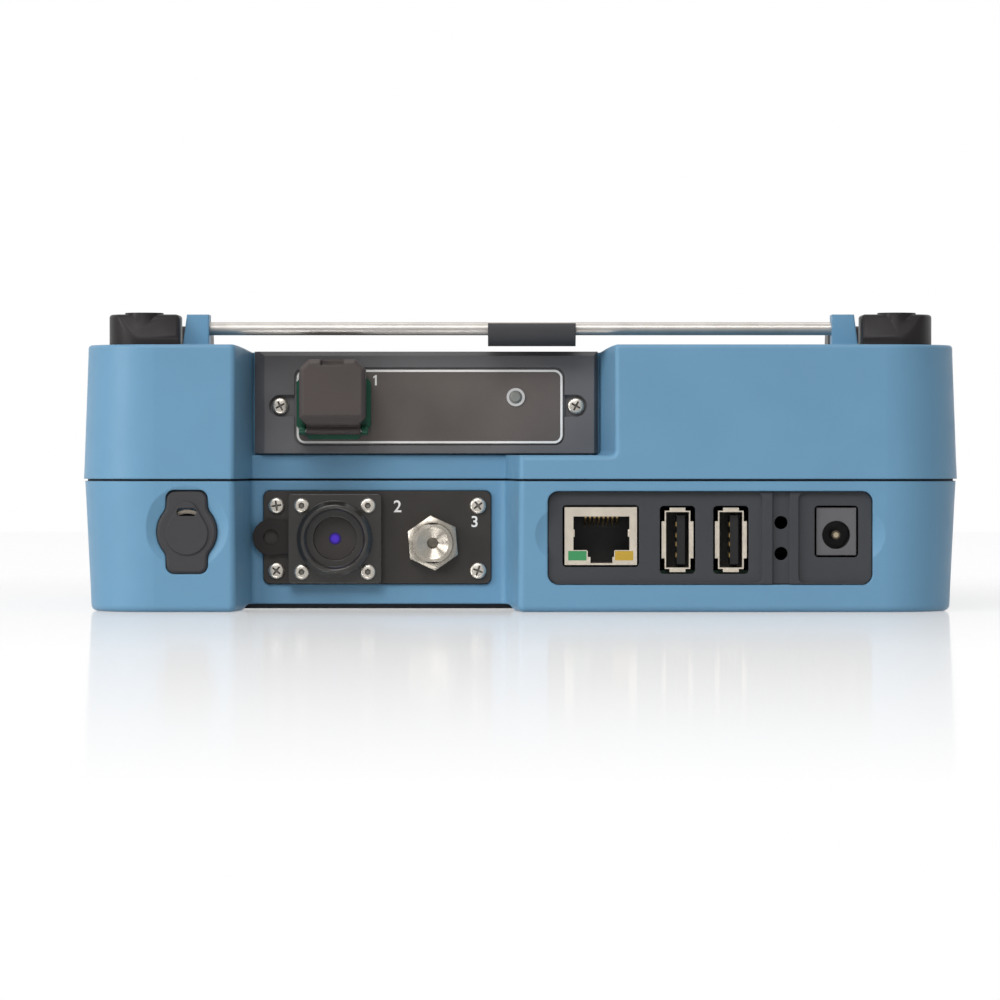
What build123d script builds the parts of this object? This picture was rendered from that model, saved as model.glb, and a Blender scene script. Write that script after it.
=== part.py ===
from build123d import *
from math import radians, tan
import os

os.makedirs("parts", exist_ok=True)

# The tester lies on its display face: X is its width, -Y its connector end and +Z its back
# Row across the connector end from left to right, which adds up to the case's width
probe_margin = 24.4
probe_to_recess = 10.7
recess_width = 64.7
recess_to_ports = 6.5
port_width = 73.3
port_margin = 20.4

# Stack up the connector end from the display face, which adds up to the heights of the halves
panel_foot = 6.05
meter_height = 21.25
panel_head = 2.4
seam_gap = 0.5
ledge_rise = 5.4
module_height = 23.8
module_head = 1.3

# Case
case_length = 166.0
lip_overhang = 0.3
corner_radius = 17.0
front_draft = 2.8
rear_draft = 2.1
wall = 2.5
face_wall = 3.0
back_wall = 2.2
front_edge_round = 1.5
back_edge_round = 0.8
edge_round = 1.6
screw_post_radius = 4.5
gasket_inset = 0.9
gasket_width = 1.1

# Fits
panel_gap = 0.15
loose_gap = 0.3
running_fit = 0.05
thread_fit = 0.02
cut_margin = 1.0

# Connector recess, with depths measured in from the connector end
recess_depth = 22.0
module_wall_depth = 23.5
bay_step = 21.8
recess_slope = 0.145
sill_rise = 1.4
sill_inset = 0.9
sill_slant = 45.0
ledge_round = 1.1
ledge_edge_round = 1.2

# Back of the case
tray_drop = 1.5
tray_start = 2.5
tray_side = 0.5
lug_margin = 29.1
lug_width = 6.2
lug_top_width = 5.0
lug_length = 9.0
foot_margin = 6.2
foot_width = 16.2
foot_start = 4.0
foot_length = 18.0
foot_height = 6.9
foot_skirt = 1.6
foot_slope = 25.0
foot_corner = 8.0
foot_inner_corner = 3.0
foot_boss_radius = 4.4
foot_boss_rise = 0.4
foot_boss_inset = 5.9
foot_bore_radius = 3.2
foot_bore_depth = 4.9
case_screw_radius = 1.5
case_screw_head = 2.8
case_screw_head_height = 2.0
case_screw_bite = 14.6

# Stand
rod_radius = 1.5
rod_depth = 12.5
rod_height = 3.75
rod_seat = 5.0
leg_offset = 2.6
leg_width = 20.0
leg_straight = 12.0
knuckle_radius = 4.0
leg_rise = 1.2
leg_drop = 1.4
leg_tip_width = 15.0
leg_end_margin = 35.5
leg_pocket = 1.2
leg_pocket_end = 17.0
leg_pocket_side = 3.0
tip_length = 14.0
tip_corner = 4.0
tip_skirt = 0.2
tenon_width = 9.0
tenon_length = 9.0
tenon_height = 1.4
snap_width = 2.2

# Measuring module
module_panel_thickness = 3.0
module_bevel_depth = 1.8
module_bevel_left = 2.3
module_bevel_right = 0.8
module_top_chamfer = 1.0
plate_left = 13.0
plate_right = 11.4
plate_foot = 2.2
plate_head = 3.7
plate_corner = 2.3
plate_groove = 0.4
module_edge_gap = 0.4
module_screw_left = 9.7
module_screw_right = 8.8
module_screw_rise = 11.3
module_screw_pocket = 2.5
module_screw_sink = 1.2
module_screw_radius = 1.0
module_screw_head = 1.75
module_screw_head_height = 1.1
module_screw_length = 4.0
adapter_inset = 22.1
adapter_rise = 11.7
adapter_width = 17.0
adapter_height = 16.2
adapter_corner = 3.0
adapter_thickness = 3.5
nozzle_rise = 13.3
nozzle_width = 10.4
nozzle_height = 9.4
nozzle_length = 6.5
nozzle_wall = 1.2
ferrule_radius = 1.25
ferrule_length = 15.0
ferrule_inset = 1.2
ferrule_chamfer = 0.3
cap_width = 15.0
cap_rise = 6.9
cap_height = 14.9
cap_front = 5.0
cap_back_gap = 0.3
cap_wall = 1.3
cap_top_wall = 2.0
cap_top_chamfer = 2.2
cap_low_chamfer = 1.6
cap_chin = 2.2
cap_edge = 0.8
cap_inner_chamfer = 1.2
cap_notch_width = 5.3
cap_notch_depth = 1.3
cap_notch_length = 4.0
hinge_rise = 5.7
hinge_depth = 15.8
hinge_radius = 1.05
hinge_pin_radius = 0.5
ear_width = 1.5
ear_overhang = 0.4
knuckle_gap = 0.2
knuckle_web = 1.6
lamp_inset = 22.65
lamp_rise = 13.3
lamp_ring_radius = 2.1
lamp_lens_radius = 1.45
lamp_proud = 0.3
lamp_depth = 2.4
lamp_dome = 0.5
housing_side = 4.0
housing_length = 88.0
housing_skin = 1.0
housing_floor_gap = 0.5
housing_roof_gap = 0.6
laser_width = 16.0
laser_length = 24.0
laser_height = 8.0
laser_gap = 2.8
coil_radius = 20.0
coil_width = 5.0
coil_height = 5.0
coil_offset = 10.0

# Meter panel
meter_left_margin = 5.9
meter_right_margin = 6.6
meter_corner = 1.4
meter_thickness = 1.8
meter_sink = 1.0
seat_land_x = 5.6
seat_land_z = 1.3
seat_corner = 2.0
meter_screw_pitch_x = 46.35
meter_screw_pitch_z = 14.95
meter_screw_drop = 0.175
meter_screw_radius = 1.0
meter_screw_head = 1.75
meter_screw_head_height = 0.9
meter_screw_length = 3.6
detector_inset = 16.4
detector_drop = 0.275
flange_width = 21.4
flange_height = 20.6
flange_corner = 0.8
flange_thickness = 2.6
flange_screw_pitch = 15.2
flange_screw_radius = 0.8
flange_screw_head = 1.6
flange_screw_head_height = 1.0
flange_screw_length = 4.2
barrel_radius = 8.6
barrel_bore_radius = 6.6
barrel_length = 3.4
barrel_chamfer = 0.9
barrel_mouth_chamfer = 0.5
barrel_floor = 1.0
spigot_radius = 6.4
detector_radius = 4.9
detector_length = 9.5
detector_proud = 0.6
window_radius = 1.4
window_depth = 0.6
window_sink = 0.1
tab_inset = 14.7
tab_rise = 0.3
tab_radius = 4.2
tab_hole_radius = 1.75
tab_thickness = 1.2
tab_tuck = 3.4
tab_strap = 7.7
fault_inset = 13.3
fault_drop = 1.275
fault_radius = 4.6
fault_flats = 8.5
fault_front = 16.4
fault_bore_radius = 1.26
fault_bore_depth = 9.5
fault_dish = 1.2
fault_dish_radius = 3.7
fault_collar = 1.4
fault_collar_thickness = 3.2
nut_flats = 11.0
nut_turn = 5.0
nut_thickness = 2.5
nut_face_radius = 5.4
nut_chamfer_angle = 30.0
fault_laser_radius = 3.5
fault_laser_length = 16.0

# Port panel, with places measured from its left and right ends and its bottom edge
port_foot = 6.4
port_corner = 2.3
port_face_depth = 2.0
port_thickness = 4.0
scallop_radius = 8.1
scallop_depth = 2.2
scallop_overlap = 4.8
rib_height = 0.8
rib_start = 48.5
rib_band = 8.2
groove_inset = 2.3
groove_width = 3.9
pocket_lip = 0.25
pocket_corner = 1.3
anchor_radius = 1.5
anchor_rise = 10.4
anchor_pitch = 7.0
socket_depth = 2.6
socket_gap = 0.45
window_corner = 0.9
solder_peg_radius = 0.6
lan_start = 3.7
lan_width = 16.4
lan_rise = 4.3
lan_height = 13.1
lan_length = 16.0
lan_skin = 0.4
lan_peg_inset = 1.2
lan_peg_depth = 11.0
plug_side_left = 2.0
plug_side_right = 1.7
plug_head = 2.1
plug_opening_height = 7.8
plug_depth = 12.0
latch_width = 6.2
latch_slot_width = 5.0
latch_step = 1.4
contact_count = 8
contact_pitch = 1.02
contact_width = 0.44
contact_thickness = 0.4
contact_start = 1.5
contact_fall = 1.8
link_lamp_width = 4.2
link_lamp_height = 2.2
link_lamp_inset = 0.8
link_lamp_depth = 3.0
usb_start = 29.3
usb_pitch = 12.1
usb_rise = 10.0
usb_width = 5.8
usb_height = 13.2
usb_skin = 0.3
usb_length = 14.0
usb_window_gap = 1.1
usb_flare = 0.7
usb_lip_thickness = 0.35
usb_end_lip = 3.6
usb_side_lip = 8.4
usb_peg_inset = 3.0
tongue_thickness = 1.84
tongue_height = 11.1
tongue_length = 8.8
tongue_shift = 0.8
tongue_base = 3.0
strip_thickness = 0.2
strip_width = 1.0
strip_short = 1.2
strip_outer = 3.5
strip_inner = 1.0
inlet_end = 8.0
inlet_rise = 6.5
inlet_width = 9.0
inlet_height = 10.8
inlet_length = 14.0
inlet_hole_rise = 4.6
inlet_hole_radius = 3.2
inlet_hole_depth = 10.0
inlet_pin_radius = 1.0
inlet_pin_root = 2.0
inlet_pin_short = 1.2
inlet_pin_chamfer = 0.4
inlet_peg_pitch = 6.0
inlet_peg_depth = 10.0
inlet_peg_root = 0.2
io_board_rise = 3.0
io_board_left = 1.8
io_board_right = 0.9
io_board_length = 17.0
io_screw_depth = 20.0
io_screw_left = 23.7
io_screw_right = 2.6
board_thickness = 1.6

# Probe port
probe_rise = 18.2
plug_height = 18.8
plug_neck = 9.3
plug_bulge = 13.6
plug_corner = 2.0
plug_edge = 0.5
plug_thickness = 3.0
plug_face_depth = 0.9
plug_waist = 3.0
loop_rise = 4.5
loop_width = 4.4
loop_height = 1.8
loop_corner = 0.8
relief_radius = 4.8
relief_drop = 0.4
relief_top_radius = 2.4
relief_height = 0.35
probe_pad = 7.0
probe_pad_border = 2.5
dish_radius = 9.3
dish_depth = 1.9
socket_radius = 5.0
socket_length = 12.0
socket_play = 0.2
socket_flange = 0.4
socket_flange_thickness = 1.5
spigot_plug_radius = 4.0
spigot_length = 3.6
spigot_end_gap = 0.4

# Display side
bezel_side = 12.0
bezel_front = 27.0
bezel_back = 11.0
bezel_corner = 7.0
bezel_sink = 1.2
bezel_thickness = 1.0
glass_side = 9.0
glass_front = 3.5
key_strip = 28.5
glass_corner = 3.0
glass_thickness = 2.0
glass_sink = 0.1
display_border = 3.0
display_thickness = 6.5
display_step = 2.0
key_inset = 14.0
power_key_inset = 18.0
key_pitch = 20.0
status_pitch = 16.0
key_radius = 5.5
key_sink = 0.2
key_edge = 0.6
key_travel = 0.6
key_play = 0.1
key_flange = 0.9
key_flange_width = 1.2
key_stem = 0.8
status_radius = 1.5
status_stem = 1.0
switch_size = 6.0
switch_height = 2.0
key_board_width = 14.0
key_board_border = 8.0
key_board_thickness = 1.2
key_post_radius = 2.0
key_post_inset = 8.0
key_post_pitch = 20.0

# Inside
board_side = 9.0
board_back = 21.0
board_gap = 2.8
board_z = 12.5
board_hole_inset_x = 3.0
board_hole_inset_y = 10.0
standoff_radius = 3.0
board_screw_radius = 1.25
board_screw_head = 2.2
board_screw_head_height = 1.6
board_screw_bite = 5.9
io_screw_bite = 3.0
screen_can_x = -30.0
screen_can_width = 46.0
screen_can_length = 34.0
screen_can_height = 5.0
battery_margin = 11.0
battery_to_bay = 3.4
battery_front = 34.0
battery_back = 28.0
battery_height = 21.0
battery_corner = 4.0
door_margin = 4.4
door_width = 40.0
door_end = 6.0
door_corner = 3.0
door_thickness = 1.4
door_land_x = 4.0
door_land_y = 6.0
door_screw_inset = 3.2
door_screw_radius = 1.0
door_screw_head = 1.9
door_screw_head_height = 0.8
door_screw_length = 2.1

# Places that follow from the sizes above
case_width = probe_margin + probe_to_recess + recess_width + recess_to_ports + port_width + port_margin
front_height = panel_foot + meter_height + panel_head
rear_height = ledge_rise + module_height + module_head
rear_base = front_height + seam_gap
back_z = rear_base + rear_height
ledge_z = rear_base + ledge_rise
module_top = ledge_z + module_height
tray_z = back_z - tray_drop
foot_top = back_z + foot_height
end_y = -case_length / 2
side_x = case_width / 2

probe_x = probe_margin - side_x
recess_left = probe_x + probe_to_recess
recess_right = recess_left + recess_width
bay_right = recess_right + bay_step
port_left = recess_right + recess_to_ports
port_right = port_left + port_width

lug_inner = side_x - lug_margin
tray_half = lug_inner - tray_side
foot_x = side_x - foot_margin - foot_width / 2
foot_y = case_length / 2 - foot_start - foot_length / 2
boss_y = case_length / 2 - foot_start - foot_boss_inset
foot_points = [(sx * foot_x, sy * boss_y) for sx in (-1, 1) for sy in (-1, 1)]
rod_y = end_y + rod_depth
rod_z = back_z + rod_height

module_face_depth = module_wall_depth - module_panel_thickness
base_face_depth = module_face_depth - adapter_thickness
module_screw_z = ledge_z + module_screw_rise
module_points = [(recess_left + module_screw_left, module_screw_z),
                 (bay_right - module_screw_right, module_screw_z)]
plate_edges = (recess_left + plate_left, bay_right - plate_right)
plate_width = plate_edges[1] - plate_edges[0]
plate_height = module_height - plate_foot - plate_head
plate_x = (plate_edges[0] + plate_edges[1]) / 2
plate_z = ledge_z + plate_foot + plate_height / 2
adapter_x = recess_left + adapter_inset
adapter_z = ledge_z + adapter_rise
nozzle_z = ledge_z + nozzle_rise
ferrule_front = base_face_depth - nozzle_length + ferrule_inset
cap_bottom = ledge_z + cap_rise
hinge_y = end_y + hinge_depth
hinge_z = ledge_z + hinge_rise
ear_x = cap_width / 2 - ear_width / 2 + ear_overhang
lamp_x = bay_right - lamp_inset
lamp_z = ledge_z + lamp_rise
housing_x = (bay_right + recess_left) / 2
housing_inset = recess_slope * module_wall_depth + module_edge_gap + housing_side
housing_width = bay_right - recess_left - 2 * housing_inset
housing_bottom = ledge_z + wall + housing_floor_gap
housing_top = tray_z - back_wall - housing_roof_gap
housing_height = housing_top - housing_bottom
housing_z = (housing_top + housing_bottom) / 2

meter_left = recess_left + meter_left_margin
meter_right = recess_right - meter_right_margin
meter_width = meter_right - meter_left
meter_x = (meter_left + meter_right) / 2
meter_z = panel_foot + meter_height / 2
meter_face_depth = recess_depth + meter_sink - meter_thickness
meter_back_depth = recess_depth + meter_sink
meter_screw_z = meter_z - meter_screw_drop
meter_points = [(meter_x + sx * meter_screw_pitch_x / 2, meter_screw_z + sz * meter_screw_pitch_z / 2)
                for sx in (-1, 1) for sz in (-1, 1)]
detector_x = meter_left + detector_inset
detector_z = meter_z - detector_drop
detector_face_depth = meter_face_depth - detector_proud
flange_face_depth = meter_face_depth - flange_thickness
flange_points = [(detector_x + sx * flange_screw_pitch / 2, detector_z + sz * flange_screw_pitch / 2)
                 for sx in (-1, 1) for sz in (-1, 1)]
barrel_front = flange_face_depth - barrel_length
tab_x = detector_x - tab_inset
tab_z = detector_z + tab_rise
strap_end = detector_x - flange_width / 2 + tab_tuck
fault_x = meter_right - fault_inset
fault_z = meter_z - fault_drop
fault_collar_depth = meter_back_depth + fault_collar_thickness
fault_laser_end = fault_collar_depth + fault_laser_length

port_top = front_height - panel_head
port_height = port_top - port_foot
port_x = (port_left + port_right) / 2
port_z = (port_foot + port_top) / 2
rib_left = port_left + rib_start
rib_right = rib_left + rib_band
groove_x = rib_left + groove_inset + groove_width / 2
anchor_points = [(groove_x, port_foot + anchor_rise + s * anchor_pitch / 2) for s in (-1, 1)]
io_board_top = port_foot + io_board_rise
lan_x = port_left + lan_start + lan_width / 2
lan_z = port_foot + lan_rise + lan_height / 2
plug_left = lan_x - lan_width / 2 + plug_side_left
plug_right = lan_x + lan_width / 2 - plug_side_right
plug_top = lan_z + lan_height / 2 - plug_head
plug_bottom = plug_top - plug_opening_height
plug_x = (plug_left + plug_right) / 2
insert_front = socket_depth + lan_skin
link_lamp_x = lan_width / 2 - link_lamp_inset - link_lamp_width / 2
link_lamp_z = plug_bottom - link_lamp_height / 2
link_lamp_points = [(lan_x - link_lamp_x, link_lamp_z), (lan_x + link_lamp_x, link_lamp_z)]
usb_x = [port_left + usb_start, port_left + usb_start + usb_pitch]
usb_z = port_foot + usb_rise
usb_points = [(x, usb_z) for x in usb_x]
usb_back = socket_depth + usb_length
tongue_root = usb_back - usb_skin - tongue_base
inlet_x = port_right - inlet_end
inlet_bottom = port_foot + inlet_rise
inlet_z = inlet_bottom + inlet_height / 2
inlet_hole_z = inlet_bottom + inlet_hole_rise
io_rest = io_board_top - board_thickness
io_points = [(x, end_y + io_screw_depth) for x in (port_left + io_screw_left, port_right - io_screw_right)]

bezel_width = case_width - 2 * bezel_side
bezel_length = case_length - bezel_front - bezel_back
bezel_y = (bezel_front - bezel_back) / 2
glass_width = bezel_width - 2 * glass_side
glass_length = bezel_length - glass_front - key_strip
glass_y = end_y + bezel_front + glass_front + glass_length / 2
glass_face = bezel_sink - bezel_thickness + glass_sink
key_y = case_length / 2 - bezel_back - key_inset
power_key_x = bezel_width / 2 - power_key_inset
home_key_x = power_key_x - key_pitch
status_x = home_key_x - status_pitch
key_points = [(power_key_x, key_y), (home_key_x, key_y)]
key_face = bezel_sink - bezel_thickness + key_sink
stem_end = face_wall + loose_gap + key_flange + key_stem
switch_face = stem_end + key_travel + key_play
key_board_z = switch_face + switch_height

board_width = case_width - 2 * board_side
board_front_y = end_y + fault_laser_end + board_gap
board_back_y = case_length / 2 - board_back
board_length = board_back_y - board_front_y
board_y = (board_front_y + board_back_y) / 2
board_hole_x = board_width / 2 - board_hole_inset_x
board_hole_y = board_length / 2 - board_hole_inset_y
board_points = [(sx * board_hole_x, board_y + sy * board_hole_y) for sx in (-1, 1) for sy in (-1, 1)]
battery_width = side_x - battery_margin - bay_right - battery_to_bay
battery_x = side_x - battery_margin - battery_width / 2
battery_y = (battery_front - battery_back) / 2
battery_length = case_length - battery_front - battery_back
door_x = tray_half - door_margin - door_width / 2
door_length = battery_length - 2 * door_end
door_points = [(door_x, battery_y + sy * (door_length / 2 - door_screw_inset)) for sy in (-1, 1)]

UPWARD = (Align.CENTER, Align.CENTER, Align.MIN)
DOWNWARD = (Align.CENTER, Align.CENTER, Align.MAX)
ACROSS = (0, 90, 0)


def save(builder, node):
    builder.part.label = node
    export_step(builder.part, "parts/" + node + ".step")


def end_plane(depth):
    """A plane that faces out of the connector end: local x is X and local y is Z."""
    return Plane(origin=(0, end_y + depth, 0), x_dir=(1, 0, 0), z_dir=(0, -1, 0))


def drafted_block(inset, height, draft, base, upward):
    """A block with the case's rounded outline that narrows away from the parting line."""
    with BuildPart(mode=Mode.PRIVATE) as block:
        with BuildSketch():
            RectangleRounded(case_width - 2 * inset, case_length - 2 * inset, corner_radius - inset)
        extrude(amount=height, taper=draft)
    shape = block.part if upward else mirror(block.part, about=Plane.XY, mode=Mode.PRIVATE)
    return Pos(0, 0, base) * shape


def recess_prism(right, depth, grow, bottom, top):
    """The connector recess as a solid, grown on all sides for the wall around it."""
    with BuildPart(mode=Mode.PRIVATE) as prism:
        with BuildSketch(Plane.XY.offset(bottom)):
            mouth = end_y - 10 * cut_margin
            inner = end_y + depth
            left_inner = recess_left + recess_slope * depth
            right_inner = right - recess_slope * depth
            corners = [(recess_left, mouth), (recess_left, end_y), (left_inner, inner)]
            corners += [(right_inner, inner), (right, end_y), (right, mouth)]
            Polygon(*corners, align=None)
            if grow > 0:
                offset(amount=grow, kind=Kind.INTERSECTION)
        extrude(amount=top - bottom)
    return prism.part


def screw_set(plane, points, head_radius, head_height, shank_radius, shank_length):
    """One pan-head screw at each point, the head standing on the plane."""
    with BuildPart(plane) as screws:
        with Locations(*points):
            Cylinder(head_radius, head_height, align=UPWARD)
            Cylinder(shank_radius, shank_length, align=DOWNWARD)
    return screws


def drill(points, radius, depth):
    """Round holes that start a little above the current plane."""
    with Locations(*[(x, y, cut_margin) for x, y in points]):
        Cylinder(radius, depth + cut_margin, align=DOWNWARD, mode=Mode.SUBTRACT)


def posts(points, radius, base, height, mode=Mode.ADD):
    """Upright round posts with their feet at the base height."""
    with Locations(*[(x, y, base) for x, y in points]):
        Cylinder(radius, height, align=UPWARD, mode=mode)


def plug_outline(grow):
    """Outline of the probe port's rubber plug: a bulged middle with a square tab above and below."""
    with Locations((probe_x, probe_rise)):
        RectangleRounded(plug_neck + 2 * grow, plug_height + 2 * grow, plug_corner)
        Circle(plug_bulge / 2 + grow)
    waist = vertices().filter_by(lambda v: plug_waist < abs(v.Y - probe_rise) < plug_bulge / 2)
    fillet(waist, plug_waist)


def plug_mouth():
    """Mouth of the network socket with its stepped latch slot below."""
    with Locations((plug_x, plug_bottom)):
        Rectangle(plug_right - plug_left, plug_opening_height, align=(Align.CENTER, Align.MIN))
        Rectangle(latch_width, 2 * latch_step)
        Rectangle(latch_slot_width, 4 * latch_step)


def face_openings(grow, mode=Mode.ADD):
    """Outlines of the glass, the keys and the status light in the display face."""
    with Locations((0, glass_y)):
        RectangleRounded(glass_width + 2 * grow, glass_length + 2 * grow, glass_corner, mode=mode)
    with Locations(*key_points):
        Circle(key_radius + grow, mode=mode)
    with Locations((status_x, key_y)):
        Circle(status_radius + grow, mode=mode)


# Hollow of the front half: the recess wall, screw posts and probe pad stay standing in it
with BuildPart() as front_cavity:
    cavity_base = front_height + cut_margin
    add(drafted_block(lip_overhang + wall, cavity_base - face_wall, front_draft, cavity_base, False))
    add(recess_prism(recess_right, recess_depth, wall, 0.0, cavity_base), mode=Mode.SUBTRACT)
    with BuildSketch(end_plane(probe_pad)):
        with Locations((probe_x, probe_rise)):
            Rectangle(2 * (dish_radius + probe_pad_border), 2 * (dish_radius + probe_pad_border))
    extrude(amount=probe_pad, mode=Mode.SUBTRACT)
    posts(foot_points, screw_post_radius, 0.0, cavity_base, Mode.SUBTRACT)
    posts(board_points, standoff_radius, 0.0, board_z, Mode.SUBTRACT)
    posts(io_points, standoff_radius, 0.0, io_rest, Mode.SUBTRACT)

# Front half of the case, display face down
with BuildPart() as front_case:
    add(drafted_block(lip_overhang, front_height, front_draft, front_height, False))
    add(recess_prism(recess_right, recess_depth, 0.0, -cut_margin, cavity_base), mode=Mode.SUBTRACT)
    uprights = front_case.edges().filter_by(lambda e: abs(e.tangent_at(0.5).Z) > 0.9)
    fillet(uprights.filter_by(lambda e: recess_left - wall < e.center().X < bay_right), edge_round)
    fillet(front_case.faces().sort_by(Axis.Z)[0].outer_wire().edges(), front_edge_round)
    add(front_cavity.part, mode=Mode.SUBTRACT)
    # Opening for the port panel, with a finger scallop at each end
    with BuildSketch(end_plane(-cut_margin)):
        with Locations((port_x, port_z)):
            Rectangle(port_width + 2 * panel_gap, port_height + 2 * panel_gap)
        fillet(vertices(), port_corner + panel_gap)
    extrude(amount=-(cut_margin + 3 * wall), mode=Mode.SUBTRACT)
    ball = (scallop_radius**2 + scallop_depth**2) / (2 * scallop_depth)
    reach = scallop_radius - scallop_overlap
    with Locations(end_plane(scallop_depth)):
        with Locations((port_left + reach, port_z, ball), (port_right - reach, port_z, ball)):
            Sphere(ball, mode=Mode.SUBTRACT)
    # Seat of the rubber plug, the dish round it and the hole for its socket
    with BuildSketch(end_plane(-cut_margin)):
        plug_outline(panel_gap)
    extrude(amount=-(cut_margin + plug_face_depth + plug_thickness), mode=Mode.SUBTRACT)
    dish_ball = (dish_radius**2 + dish_depth**2) / (2 * dish_depth)
    with Locations(end_plane(plug_face_depth + dish_depth)):
        with Locations((probe_x, probe_rise, dish_ball)):
            Sphere(dish_ball, mode=Mode.SUBTRACT)
    with Locations(end_plane(0)):
        drill([(probe_x, probe_rise)], socket_radius + panel_gap, probe_pad + cut_margin)
    # Sunk seat of the meter panel, with a window behind it for the ports that the panel carries
    with BuildSketch(end_plane(recess_depth - cut_margin)):
        with Locations((meter_x, meter_z)):
            Rectangle(meter_width + 2 * panel_gap, meter_height + 2 * panel_gap)
        fillet(vertices(), meter_corner + panel_gap)
    extrude(amount=-(cut_margin + meter_sink), mode=Mode.SUBTRACT)
    with BuildSketch(end_plane(recess_depth)):
        with Locations((meter_x, meter_z)):
            RectangleRounded(meter_width - 2 * seat_land_x, meter_height - 2 * seat_land_z, seat_corner)
    extrude(amount=-2 * wall, mode=Mode.SUBTRACT)
    with Locations(end_plane(recess_depth)):
        drill(meter_points, meter_screw_radius + running_fit, 2 * wall)
    # Sunk display face and the openings in it
    with BuildSketch(Plane.XY):
        with Locations((0, bezel_y)):
            RectangleRounded(bezel_width + 2 * panel_gap, bezel_length + 2 * panel_gap, bezel_corner)
    extrude(amount=bezel_sink, mode=Mode.SUBTRACT)
    with BuildSketch(Plane.XY):
        face_openings(panel_gap)
    extrude(amount=face_wall + cut_margin, mode=Mode.SUBTRACT)
    # Raised sill under the recess, between the ends of the rim
    with BuildSketch(end_plane(0)):
        with Locations(((recess_left + recess_right) / 2, 0)):
            Trapezoid(recess_width - 2 * sill_inset, sill_rise, sill_slant, align=(Align.CENTER, Align.MIN))
    extrude(amount=-bezel_front, mode=Mode.SUBTRACT)
    # Screw holes from the parting line and the standoffs
    with Locations(Plane.XY.offset(front_height)):
        drill(foot_points, case_screw_radius + running_fit, case_screw_bite + cut_margin)
    with Locations(Plane.XY.offset(board_z)):
        drill(board_points, board_screw_radius + running_fit, board_screw_bite + cut_margin)
    with Locations(Plane.XY.offset(io_rest)):
        drill(io_points, board_screw_radius + running_fit, io_screw_bite + cut_margin)
save(front_case, "front_case")

# Hollow of the rear half
with BuildPart() as rear_cavity:
    cavity_height = tray_z - back_wall - rear_base + cut_margin
    add(drafted_block(wall, cavity_height, rear_draft, rear_base - cut_margin, True))
    low_base = rear_base - 2 * cut_margin
    add(recess_prism(recess_right, recess_depth, wall, low_base, ledge_z + wall), mode=Mode.SUBTRACT)
    add(recess_prism(bay_right, module_wall_depth, wall, ledge_z - wall, back_z), mode=Mode.SUBTRACT)
    posts(foot_points, screw_post_radius, low_base, rear_height + 4 * cut_margin, Mode.SUBTRACT)

# Rear half of the case, the back up
with BuildPart() as rear_case:
    add(drafted_block(0.0, rear_height, rear_draft, rear_base, True))
    add(recess_prism(recess_right, recess_depth, 0.0, rear_base - cut_margin, ledge_z), mode=Mode.SUBTRACT)
    add(recess_prism(bay_right, module_wall_depth, 0.0, ledge_z, back_z + cut_margin), mode=Mode.SUBTRACT)
    # Rounded inner corner of the bay, edges of the recess and rim of the back
    bay_inner = bay_right - recess_slope * module_wall_depth
    ledge_edges = rear_case.edges().filter_by(Plane.XY).filter_by(lambda e: abs(e.center().Z - ledge_z) < 0.1)
    bay_corner = ledge_edges.filter_by(lambda e: bay_inner - 0.1 < e.center().X < bay_right)
    fillet(bay_corner.filter_by(lambda e: e.length > recess_depth), ledge_round)
    mouth = rear_case.edges().filter_by(lambda e: e.center().Y < end_y + edge_round)
    mouth = mouth.filter_by(lambda e: recess_left - cut_margin < e.center().X < bay_right + cut_margin)
    fillet(mouth.filter_by(lambda e: rear_base + 1.0 < e.center().Z < back_z - 1.0), ledge_edge_round)
    fillet(rear_case.faces().sort_by(Axis.Z)[-1].outer_wire().edges(), back_edge_round)
    # Shallow tray across the back, its floor ramps up to both ends
    with BuildSketch(Plane.YZ):
        start = end_y + tray_start
        ramp = end_y + recess_depth
        rim = [(start, back_z), (ramp, tray_z), (-ramp, tray_z), (-start, back_z)]
        Polygon(*rim, (-start, back_z + cut_margin), (start, back_z + cut_margin), align=None)
    extrude(amount=tray_half, both=True, mode=Mode.SUBTRACT)
    add(rear_cavity.part, mode=Mode.SUBTRACT)
    # Lugs that carry the stand rod
    for side in (-1, 1):
        with BuildSketch(Plane.XZ.offset(-rod_y - lug_length / 2)):
            inner = side * lug_inner
            outer = side * (lug_inner + lug_width)
            crown = side * (lug_inner + lug_top_width)
            lug_base = back_z - back_wall
            Polygon((inner, lug_base), (outer, lug_base), (crown, foot_top), (inner, foot_top), align=None)
        extrude(amount=lug_length)
    with Locations((0, rod_y, rod_z)):
        Cylinder(rod_radius + running_fit, 2 * (lug_inner + rod_seat), rotation=ACROSS, mode=Mode.SUBTRACT)
    # Openings for the module and the battery
    with BuildSketch(end_plane(module_wall_depth - cut_margin)):
        with Locations((housing_x, housing_z)):
            Rectangle(housing_width + 2 * loose_gap, housing_height + 2 * loose_gap)
    extrude(amount=-(wall + 2 * cut_margin), mode=Mode.SUBTRACT)
    with Locations(end_plane(module_wall_depth)):
        drill(module_points, module_screw_radius + running_fit, 2 * wall)
    with BuildSketch(Plane.XY.offset(tray_z - door_thickness)):
        with Locations((door_x, battery_y)):
            RectangleRounded(door_width + 2 * panel_gap, door_length + 2 * panel_gap, door_corner)
    extrude(amount=2 * back_wall, mode=Mode.SUBTRACT)
    with BuildSketch(Plane.XY.offset(tray_z - 2 * back_wall)):
        with Locations((door_x, battery_y)):
            RectangleRounded(door_width - 2 * door_land_x, door_length - 2 * door_land_y, door_corner)
    extrude(amount=2 * back_wall, mode=Mode.SUBTRACT)
    with Locations(Plane.XY.offset(tray_z - door_thickness)):
        drill(door_points, door_screw_radius + running_fit, 2 * back_wall)
    with Locations(Plane.XY.offset(back_z)):
        drill(foot_points, case_screw_radius + running_fit, rear_height + cut_margin)
save(rear_case, "rear_case")

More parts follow.
